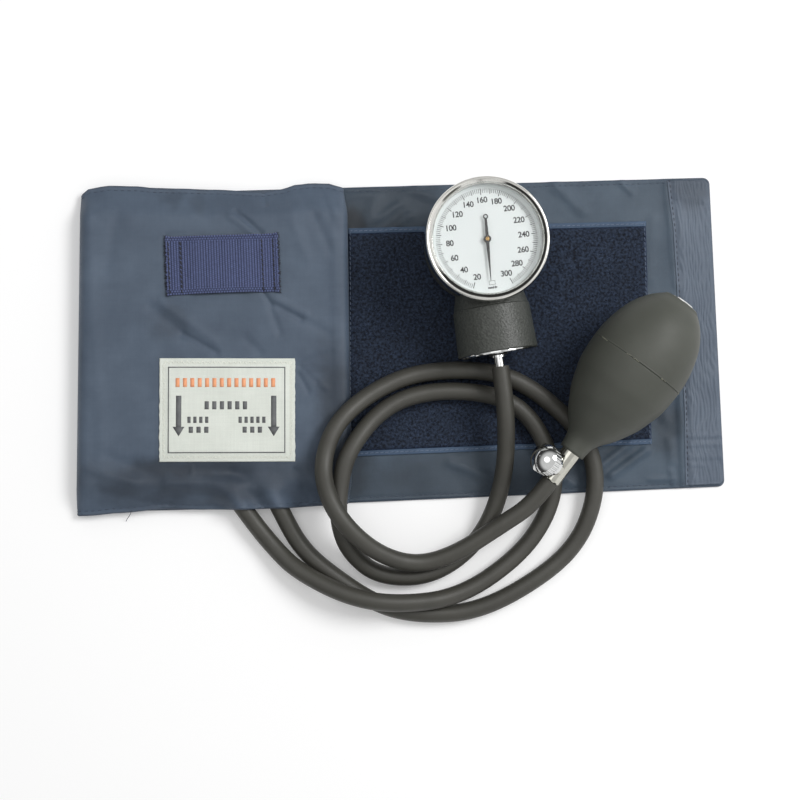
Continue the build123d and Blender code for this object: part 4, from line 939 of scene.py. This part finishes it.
facing = cut_cloth(facing_columns, facing_rows, facing_place, facing_spot)
end_facing = make_piece("end_facing", facing, "facing_nylon", wall=0.35)
seam_runs = stitch(surface_of(inner_cloth, end_facing), [(x + 0.2, y) for y, x in seam_line], 2.6, 1.7, 0.05)
spin_threads("seam_stitches", seam_runs, 0.2, "dark_thread", ends=stitch_ends)

# %% [markdown]
# ## The loop fastener
# The dark patch is the soft half of a hook-and-loop fastener: a woven ground with thousands of
# tiny loops brushed into a pile, and a smooth woven edge above and below. Hair particles could
# make it, but they don't export. So the ground is a slab with a noisy top, which shades like
# pile from afar, and close by, loops of yarn stand in it, each a thread of four points.

# %% The loop fastener
patch_corners = ((-26.5, -51.3), (113.9, -51.3)), ((-22.7, 53.3), (116.2, 52.5))
patch_long, patch_high, selvage = 136.2, 104.2, 2.4
patch_columns, pile_rows, band_rows = 230, 172, 6
band = selvage / patch_high


def patch_spot(across, rise):
    """A point of the patch seen from above: across and rise run from 0 to 1."""
    (x0, y0), (x1, y1) = [(a + (c - a) * rise, b + (d - b) * rise) for (a, b), (c, d) in zip(*patch_corners)]
    return x0 + (x1 - x0) * across, y0 + (y1 - y0) * across


def pile_place(column, row):
    """The brushed top of the pile, which rounds off to its rim."""
    across, rise = column / patch_columns, band + (1 - 2 * band) * row / pile_rows
    x, y = patch_spot(across, rise)
    brushed = 0.8 + 0.30 * ruffle(x / 0.9, y / 0.9, 1.1) + 0.12 * ruffle(x / 6, y / 2.4, 4.4)
    from_side, from_band = min(across, 1 - across), min(rise - band, 1 - band - rise)
    rim = min(from_side * patch_long, from_band * patch_high)
    return upon(lining_surface, x, y, 0.25 + brushed * soft(rim / 1.3 + 0.05))


pile = cut_cloth(patch_columns, pile_rows, pile_place, lambda column, row: (column * 0.6, row * 0.6))
loop_pile = make_piece("loop_pile", pile, "navy_pile", ["loop_patch"], 0.3, -1)
pile_surface = surface_of(loop_pile)
dice = random.Random(7)
loops = []
for _ in range(9000):
    foot = upon(pile_surface, *patch_spot(dice.uniform(0.005, 0.995), dice.uniform(0.028, 0.972)), 0)
    turn, reach, tall = dice.uniform(0, 2 * math.pi), dice.uniform(0.25, 0.75), dice.uniform(0.1, 0.42)
    step = Vector((math.cos(turn), math.sin(turn), 0)) * reach
    top = foot + Vector((dice.uniform(-0.3, 0.3), dice.uniform(-0.3, 0.3), tall))
    root = foot - Vector((0, 0, 0.15))
    loops.append([root - step, top - 0.5 * step, top + 0.5 * step, root + step])
spin_threads("loop_yarn", loops, 0.06, "pile_loops", 0)

# %% The patch's woven edges
selvages = bmesh.new()
selvages.loops.layers.uv.new("cloth")
for low in (0, 1 - band):
    def band_place(column, row):
        """A point of a smooth band along the patch, a little crowned."""
        x, y = patch_spot(column / patch_columns, low + band * row / band_rows)
        return upon(lining_surface, x, y, 0.42 + 0.12 * math.sin(math.pi * row / band_rows))

    add_part(selvages, cut_cloth(patch_columns, band_rows, band_place,
                                 lambda column, row: (column * 0.6, row * 0.4)))
patch_edges = make_piece("patch_edges", selvages, "selvage_weave", wall=0.4)
edge_surface = surface_of(inner_cloth, loop_pile, patch_edges)
edge_lines = [((at, 0.0), (at, 1.0)) for at in (0.006, 0.994)]
edge_lines += [((0.0, at), (1.0, at)) for at in (0.012, 0.988)]
edge_runs = [run for line in edge_lines
             for run in stitch(edge_surface, [patch_spot(*end) for end in line], 2.3, 1.8, 0.12, (0.12,))]
spin_threads("patch_stitches", edge_runs, 0.17, "patch_thread", ends=stitch_ends)

# %% [markdown]
# ## The hook fastener
# The stiff half lies face down on the tucked end, where nobody sees it until the cuff is
# opened: a woven tape with rows of small hooks, each a thread bent over at its tip.

# %% The hook fastener
hook_low, hook_high = (corner_point / MM for corner_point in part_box("hook_patch"))
hook_across = (hook_high.x - hook_low.x, hook_high.y - hook_low.y)
tape_cut, hook_count = 60, 24


def tape_spot(across, rise, inset):
    """A point of the tape seen from below: across and rise run from 0 to 1, inside its edges."""
    return [low + inset + (side - 2 * inset) * share
            for low, side, share in zip(hook_low, hook_across, (across, rise))]


def tape_place(column, row):
    """The tape's cloth, a little uneven."""
    x, y = tape_spot(column / tape_cut, row / tape_cut, 1)
    return x, y, hook_high.z - 0.25 + 0.05 * ruffle(x, y, 0)


def tape_flat(column, row):
    """The same point on the flat tape."""
    return hook_across[0] * column / tape_cut, hook_across[1] * row / tape_cut


tape = cut_cloth(tape_cut, tape_cut, tape_place, tape_flat)
hook_tape = make_piece("hook_tape", tape, "hook_weave", ["hook_patch"], 0.4)
hook_runs = []
for row in range(hook_count):
    for column in range(hook_count):
        x, y = tape_spot((column + 0.5 * (row % 2)) / hook_count, row / hook_count, 2)
        hook_runs.append([(x + back, y, hook_high.z - 0.3 - down)
                          for back, down in ((0, 0), (0, 0.6), (0.25, 0.8), (0.4, 0.6))])
spin_threads("hooks", hook_runs, 0.09, "hook_weave", 0)

# %% [markdown]
# ## The webbing strap
# A short strap of ribbed webbing is sewn to the flap at both ends, and the gauge's clip slides
# behind its free middle. A bump could paint the ribs, but they stand out at the edge, so they
# are modelled: each is a row of small beads of yarn, and the two edges are braided at a slant.
# The mesh stores how high each point stands, and the finish paints shade into the gaps.

# %% The webbing strap
cover_surface = surface_of(outer_cloth)
strap_long, strap_wide, rib, braid = 50.6, 26.6, 1.2, 3.2
strap_columns, strap_rows = 344, 104
strap_middle = Vector((-80.35, 37.4))
strap_corner = strap_middle - Vector((strap_long, strap_wide)) / 2
rises = []


def yarn_rise(x, y):
    """Height share of the webbing's yarns: x runs along the strap, y across it."""
    strand = (abs(y) - strap_wide / 2 + braid) / 1.07
    if strand < 0:
        bead = 0.82 + 0.18 * math.cos(2 * math.pi * (y / 0.95 + math.floor(x / rib) / 2))
        return abs(math.sin(math.pi * x / rib)) ** 0.6 * bead
    ridge = abs(math.sin(math.pi * (x / rib + 0.5 * math.floor(strand)))) ** 0.6
    return ridge * abs(math.sin(math.pi * strand)) ** 0.5


def strap_place(column, row):
    """A point of the strap, which frays and flares at its ends and bows up between them."""
    x, y = strap_long * (column / strap_columns - 0.5), strap_wide * (row / strap_rows - 0.5)
    rises.append(yarn_rise(x + 200 * rib, y))
    end, outward = strap_long / 2 - abs(x), 1 if x > 0 else -1
    fray = 0.9 * ruffle(0, y / 0.9, x > 0) * soft((1.8 - end) / 1.8)
    waist = 1 - 0.012 * soft((end - 6) / 8)
    flare = 0.35 * soft((3 - end) / 3) * (1 if y > 0 else -1) * soft((abs(y) - 11) / 2)
    spot = strap_middle + Vector((x + fray * outward, y * waist + flare))
    bow = soft((end - 8) / 7) + 0.55 * soft((2.4 - end) / 1.2) * soft(end / 0.5)
    return upon(cover_surface, *spot, 0.55 + bow + 0.48 * rises[-1])


strap = cut_cloth(strap_columns, strap_rows, strap_place)
layer = strap.verts.layers.float.new("rise")
for point, rise in zip(strap.verts, rises):
    point[layer] = rise
webbing = make_piece("webbing", strap, "strap_weave", ["webbing_strap"], 0.7, -1)
strap_surface = surface_of(webbing)
strap_runs = []
for from_left in (1.5, 6.9, strap_long - 7.3, strap_long - 2.3):
    seam = [strap_corner + Vector(spot) for spot in ((from_left, 0.5), (from_left - 0.1, strap_wide - 0.5))]
    strap_runs += stitch(strap_surface, seam, 2.15, 1.75, 0.12, (0.22,))
spin_threads("strap_stitches", strap_runs, 0.36, "strap_thread", ends=stitch_ends)
frays = []
for _ in range(240):
    side = dice.choice((-1, 1))
    x, y = strap_middle.x + side * (strap_long / 2 - 0.3), strap_corner.y + dice.uniform(0, strap_wide)
    root = upon(cover_surface, x, y, dice.uniform(0.5, 0.9))
    way = Vector((side * dice.uniform(0.3, 1.2), dice.uniform(-0.9, 0.9), 0))
    tip = root + way - Vector((0, 0, dice.uniform(0.0, 0.3)))
    frays.append([root, root + 0.5 * way + Vector((0, 0, 0.12)), tip])
spin_threads("strap_frays", frays, 0.13, "strap_thread", 0, (1, 0.5))

# %% [markdown]
# ## The woven label
# An off-white label is sewn below the strap with a zigzag stitch inside its edge. Its words
# stay off this part: a thin frame, two plain arrows that point down, and rows of plain bars
# hold their places. An image could print them, but it would blur close by, so print is a very
# thin layer, laid point by point on the label.

# %% The woven label
label_long, label_high = 60.5, 46.3
label_columns, label_rows = 100, 76
label_middle, label_turn = Vector((-80.5, -28.2)), Matrix.Rotation(math.radians(-2.2), 2)


def on_label(across, down):
    """Where a point of the label lies: millimetres from its upper left corner."""
    return label_middle + label_turn @ Vector((across - label_long / 2, label_high / 2 - down))


def label_place(column, row):
    """The label's cloth: sewn down round its edge and a little slack inside."""
    across, down = label_long * column / label_columns, label_high * (1 - row / label_rows)
    rim = min(across, down, label_long - across, label_high - down)
    pulled = 0.3 * ruffle(across / 1.9, down / 1.9, 3.6) * soft((3 - rim) / 3)
    slack = 0.55 * soft((rim - 1.5) / 4) - 0.12 * bell(rim - 1.9, 0.8)
    slack += 0.3 * ruffle(across / 13, down / 9, 6.1) * soft(rim / 6)
    if rim in (across, label_long - across):
        across += pulled
    return upon(cover_surface, *on_label(across, down), 0.35 + slack)


label = cut_cloth(label_columns, label_rows, label_place,
                  lambda column, row: (label_long * column / label_columns, label_high * row / label_rows))
woven_label = make_piece("woven_label", label, "label_weave", ["cuff_label"], 0.3)
label_surface = surface_of(woven_label)
near, far, low = 1.9, label_long - 1.9, label_high - 1.9
border = [(near, near), (far, near), (far, low), (near, low), (near, near)]
zigzag = stitch(label_surface, border, 1.15, 1.15, 0.14, (-0.75, 0.75), 0.2, on_label)
spin_threads("label_stitches", zigzag, 0.17, "label_thread", ends=(0.7, 0.7))

# %% The label's print
def print_bar(shape, left, top, right, low):
    """A filled bar on the label, cut fine enough to follow its surface."""
    long, high = right - left, low - top
    middle = Matrix.Translation((left + long / 2, top + high / 2, 0))
    bmesh.ops.create_grid(shape, x_segments=max(1, round(long / 1.2)), y_segments=max(1, round(high / 1.2)),
                          size=0.5, matrix=middle @ Matrix.Diagonal((long, -high, 1, 1)))


def print_row(shape, left, right, top, low, count):
    """A row of plain bars where a word would stand."""
    pitch = (right - left) / count
    for i in range(count):
        print_bar(shape, left + i * pitch, top, left + (i + 0.55) * pitch, low)


def face_up(shape):
    """Turns flat faces to the viewer."""
    for face in shape.faces:
        face.normal_update()
        if face.normal.z < 0:
            face.normal_flip()


def press_print(name, shape, finish):
    """Lays print on the label."""
    for point in shape.verts:
        point.co = upon(label_surface, *on_label(point.co.x, point.co.y), 0.04) * MM
    face_up(shape)
    return make_piece(name, shape, finish, wall=0.03)


grey_print, orange_print = bmesh.new(), bmesh.new()
rim, line = 3.8, 0.5
far, low = label_long - 4.4, label_high - rim
for bar in ((rim, rim, far, rim + line), (rim, low - line, far, low),
            (rim, rim + line, rim + line, low - line), (far - line, rim + line, far, low - line)):
    print_bar(grey_print, *bar)
arrow_top, arrow_neck, arrow_tip, shaft, wing = 16.8, 30.7, 35.0, 2.4, 1.4
for left in (7.4, 49.7):
    print_bar(grey_print, left, arrow_top, left + shaft, arrow_neck)
    head = bmesh.ops.create_circle(grey_print, cap_ends=True, segments=3, radius=1)["verts"]
    spots = (left - wing, arrow_neck), (left + shaft + wing, arrow_neck), (left + shaft / 2, arrow_tip)
    for point, spot in zip(head, spots):
        point.co = (*spot, 0)
for row in ((20.1, 40.5, 19.3, 22.9, 6), (12.5, 23.0, 26.2, 29.0, 4), (13.1, 23.4, 30.7, 33.4, 3),
            (35.2, 48.4, 26.2, 29.0, 5), (37.0, 47.2, 30.7, 33.4, 3)):
    print_row(grey_print, *row)
print_row(orange_print, 7.2, 53.0, 8.9, 12.9, 14)
press_print("grey_marks", grey_print, "ink_grey")
press_print("orange_marks", orange_print, "ink_orange")

# %% [markdown]
# ## The dial's scale
# The dial counts from 20 to 300 in steps of two, and a small open box marks zero at the foot.
# A texture could hold the scale, but geometry stays sharp and goes with the model. Ticks and
# figures are thin pieces of ink just above the plate, made flat and then turned into place.

# %% The dial's scale
dial_turn = Matrix.Translation(dial_hub * MM) @ Matrix.Rotation(math.radians(4.4), 4, "Z")
ink_height, tick_end, turn_for_one = 0.03, 22.4, 1.12
box_top, box_foot, box_side, box_line = 18.2, 20.0, 3.9, 0.14
tick_sizes = {20: (2.7, 0.32), 10: (2.3, 0.3), 2: (1.9, 0.2)}
figures_across, figures_down, figure_tall, unit_tall = 16.4, 17.3, 2.45, 1.05


def ink_bar(shape, angle, inner, outer, width):
    """A straight mark along a radius; the angle runs clockwise from the foot of the dial."""
    turned = Matrix.Rotation(math.radians(180 - angle), 4, "Z")
    middle = Matrix.Translation((0, (inner + outer) / 2, ink_height))
    stretched = Matrix.Diagonal((width, outer - inner, 1, 1))
    bmesh.ops.create_grid(shape, x_segments=1, y_segments=1, size=0.5,
                          matrix=Matrix.Scale(MM, 4) @ turned @ middle @ stretched)


def ink_word(shape, word, x, y, tall):
    """Plain figures, made a mesh and centred on a point of the dial."""
    font = bpy.data.curves.new("figures", "FONT")
    font.body = word
    font.size = tall / 0.7 * MM
    font.align_x, font.align_y = "CENTER", "CENTER"
    font.offset = 0.07 * MM
    font.space_character = 0.95
    holder = bpy.data.objects.new("figures", font)
    letters = bpy.data.meshes.new_from_object(holder)
    letters.transform(Matrix.Translation(Vector((x, y, ink_height)) * MM))
    shape.from_mesh(letters)
    bpy.data.objects.remove(holder)


scale_ink = bmesh.new()
for value in range(20, 301, 2):
    reach, width = next(size for step, size in tick_sizes.items() if value % step == 0)
    ink_bar(scale_ink, value * turn_for_one, tick_end - reach, tick_end, width)
for value in range(20, 301, 20):
    angle = math.radians(value * turn_for_one)
    x, y = -figures_across * math.sin(angle), -figures_down * math.cos(angle)
    ink_word(scale_ink, str(value), x, y, figure_tall)
ink_word(scale_ink, "mmHg", 0, -21.2, unit_tall)
for side in (-box_side, box_side):
    ink_bar(scale_ink, side, box_top, box_foot, box_line)
for inner in (box_top, box_foot - box_line):
    ink_bar(scale_ink, 0, inner, inner + box_line, 2.7)
scale_ink.transform(dial_turn)
face_up(scale_ink)
make_piece("dial_scale", scale_ink, "dial_ink", wall=0.02)

# %% [markdown]
# ## The squeeze bulb
# The bulb is a hollow rubber egg, moulded in two halves. A stretched sphere would miss its
# shoulders, so its radii were measured along its axis: a smooth curve through them is spun
# round the axis, with a fine groove where the halves meet, partly filled here and there. The
# wall has an inside too, so the shape is closed at both mouths.

# %% The squeeze bulb
bulb_outline = [(0, 6.0), (3, 6.2), (8, 7.6), (15, 12.8), (20.5, 16.0), (25, 18.3), (31.5, 20.5),
                (37.2, 22.1), (47.5, 22.9), (55, 22.6), (63.3, 21.0), (71, 18.2), (77.5, 13.9),
                (80.6, 10.8), (82.0, 9.0), (82.5, 8.5)]
bulb_mouth, bulb_way = Vector((72.5, -53.5, 20.2232)), Vector((0.614617, 0.778240, 0.128796))
side_way = bulb_way.cross(Vector((0, 0, 1))).normalized()
top_way = side_way.cross(bulb_way).normalized()
seam_at, seam_wide, seam_deep, bulb_wall, dust_radius = 48.75, 0.2, 0.34, 2.2, 22.93
ring_step, fine_step, fine_rings, fine_from = 1.25, 0.1, 25, 47.7
neck_bore, end_bore = 4.05, 4.65


def bulb_slope(i):
    """How the outline runs at one of its radii."""
    (s0, r0), (s1, r1) = bulb_outline[max(i - 1, 0)], bulb_outline[min(i + 1, len(bulb_outline) - 1)]
    return (r1 - r0) / (s1 - s0)


def bulb_radius(s):
    """Radius of the bulb at a distance along its axis, smooth through the measured ones."""
    for i, ((s0, r0), (s1, r1)) in enumerate(zip(bulb_outline, bulb_outline[1:])):
        if s <= s1:
            t, gap = (s - s0) / (s1 - s0), s1 - s0
            rise = bulb_slope(i) * gap * (t**3 - 2 * t**2 + t) + bulb_slope(i + 1) * gap * (t**3 - t**2)
            return r0 * (2 * t**3 - 3 * t**2 + 1) + r1 * (3 * t**2 - 2 * t**3) + rise
    return bulb_outline[-1][1]


def make_bulb():
    """Spins the wall's outline, outside and inside, round its axis, with finer rings at the seam."""
    fine_to = fine_from + fine_rings * fine_step
    steps = [i * ring_step for i in range(67) if not fine_from < i * ring_step < fine_to]
    steps += [fine_from + i * fine_step for i in range(fine_rings)]
    outside = []
    for s in sorted(steps + [82.5]):
        flash = 0.12 * bell(s - seam_at - 0.5, seam_wide)
        outside.append((bulb_radius(s) - seam_deep * bell(s - seam_at, seam_wide) + flash, s))
    lip = [(8.3, 82.75), (8.0, 82.95), (7.2, 82.98), (6.6, 82.85), (6.4, 82.6), (6.4, 82.45),
           (end_bore, 82.4), (end_bore, 76.0)]
    inside = [(bulb_radius(s) - bulb_wall, s) for s in (74, 70, 64, 56, 47, 38, 30, 24, 18, 13)]
    wall = outside + lip + inside + [(neck_bore, 9.5), (neck_bore, 0.1)]
    bulb = bmesh.new()
    ring = [bulb.verts.new((radius * MM, 0, s * MM)) for radius, s in wall]
    edges = [bulb.edges.new(pair) for pair in zip(ring, ring[1:] + ring[:1])]
    bmesh.ops.spin(bulb, geom=ring + edges, axis=(0, 0, 1), cent=(0, 0, 0), steps=96, angle=2 * math.pi,
                   use_merge=True)
    bmesh.ops.recalc_face_normals(bulb, faces=bulb.faces)
    stand = Vector((0, 0, 1)).rotation_difference(bulb_way).to_matrix().to_4x4()
    bulb.transform(Matrix.Translation(bulb_mouth * MM) @ stand)
    for point in bulb.verts:
        arm = point.co / MM - bulb_mouth
        s = arm.dot(bulb_way)
        out_way = arm - bulb_way * s
        if abs(s - seam_at) < 0.9 and out_way.length > 22:
            turn = math.atan2(out_way.dot(top_way), out_way.dot(side_way))
            filled = 0.8 - 0.8 * soft((turn - 0.3) / 0.2) * soft((1.95 - turn) / 0.2)
            point.co += out_way.normalized() * filled * seam_deep * bell(s - seam_at, seam_wide) * MM
    return bulb


squeeze_bulb = make_piece("squeeze_bulb", make_bulb(), "bulb_rubber", ["bulb"])
dust_runs = []
for _ in range(30):
    turn = dice.choice((1.88, 1.88, 1.1, 0.3, 0.2, 2.6)) + dice.gauss(0, 0.07)
    span, s = dice.uniform(0.02, 0.07), seam_at + 0.2 + dice.uniform(-0.15, 0.3)
    dust_runs.append([
        bulb_mouth + bulb_way * s + (side_way * math.cos(angle) + top_way * math.sin(angle)) * dust_radius
        for angle in (turn, turn + span / 2, turn + span)])
spin_threads("parting_dust", dust_runs, 0.13, "rubber_dust", 0)

# %% [markdown]
# ## A loose thread
# The hem's seam ends at the flap's lower edge, where a thread was left hanging. It is one more
# run of `spin_threads`, with listed points.

# %% A loose thread
thread_path = [(-125.0, -71.4, 5.2), (-125.6, -72.8, 4.6), (-126.6, -74.2, 3.0), (-127.6, -75.3, 1.4),
               (-128.1, -76.2, 0.4)]
spin_threads("loose_thread", [thread_path], 0.14, "dark_thread", 0)

# %% [markdown]
# ## The table
# The object lies on a wide white table. More light would burn out the label and the dial, so
# the table adds a little light of its own instead, only for the camera and for reflections. It
# then looks white and still keeps the object's shadow.

# %% The table
white = grey(1)
table_shape = bmesh.new()
bmesh.ops.create_grid(table_shape, x_segments=1, y_segments=1, size=3.0)
table = show("table", bpy.data.meshes.new("table"))
table_shape.to_mesh(table.data)
table_shape.free()
tree, shader, where = start_finish("table_white", 0.9, {"Specular IOR Level": 0.0})
fill(tree, shader, {"Base Color": use(tree, mottle, where, 3.0, grey(0.85), grey(0.87), 1.0)})
rays = put(tree, "LightPath").node.outputs
seen = calc(tree, "MAXIMUM", rays["Is Camera Ray"], rays["Is Glossy Ray"])
seen = calc(tree, "MAXIMUM", seen, rays["Is Transmission Ray"])
own_light = put(tree, "Emission", {"Color": white, "Strength": calc(tree, "MULTIPLY", seen, 0.17)})
both = put(tree, "AddShader", (tree.nodes["Principled BSDF"].outputs[0], own_light))
fill(tree, tree.nodes["Material Output"].inputs, {"Surface": both})
table.data.materials.append(finishes["table_white"])
print("the table is", round(table.dimensions.x), "m wide")

# %% [markdown]
# ## The room and the lamps
# A studio is white above, at a window on the right and at a door in front, and dim low down
# elsewhere. Soft surfaces only feel its average, but chrome mirrors it, so glossy rays get a
# room of their own. Two large soft lamps light the object: a strong one stands at the right,
# as the bulb's shading shows, and a weak one hangs nearly overhead and lifts the shadows.

# %% The room and the lamps
world = bpy.data.worlds.new("room")
bpy.context.scene.world = world
world.use_nodes = True
tree = world.node_tree
tree.nodes.clear()
direction = put(tree, "TexCoord", output="Generated")
split = put(tree, "SeparateXYZ", [direction]).node.outputs
above = ramp(tree, split[2], 0.28, 0.70, 0.05, 0.78, ease=smooth)
toward = steer(tree, "DOT_PRODUCT", direction, (0.93, -0.37, 0), output="Value")
window = ramp(tree, toward, 0.46, 0.70, 0.05, 1.15, ease=smooth)
door = ramp(tree, split[1], -0.95, -0.99, 0.05, 1.0, ease=smooth)
bright = calc(tree, "MAXIMUM", calc(tree, "MAXIMUM", above, window), door)
mirrored, soft_light, backdrop = (put(tree, "Background", {"Color": white, "Strength": strength})
                                  for strength in (bright, 0.5, 1.0))
rays = put(tree, "LightPath").node.outputs
seen = calc(tree, "MAXIMUM", rays["Is Camera Ray"], rays["Is Transmission Ray"])
felt = put(tree, "MixShader", (rays["Is Glossy Ray"], soft_light, mirrored))
room = put(tree, "MixShader", (seen, felt, backdrop))
fill(tree, tree.nodes.new("ShaderNodeOutputWorld").inputs, {"Surface": room})


def hang_lamp(name, spot, size, power):
    """A soft round lamp that points at the middle of the object."""
    lamp = show(name, bpy.data.lights.new(name, "AREA"))
    lamp.data.shape = "DISK"
    lamp.data.size = size
    lamp.data.energy = power
    lamp.location = spot
    lamp.rotation_euler = (Vector((0, -0.02, 0)) - Vector(spot)).to_track_quat("-Z", "Y").to_euler()
    print(name, "gives", power, "W")


hang_lamp("key_lamp", (0.75, 0.35, 1.0), 0.6, 10.0)
hang_lamp("fill_lamp", (-0.34, 0.24, 1.28), 0.9, 2.3)
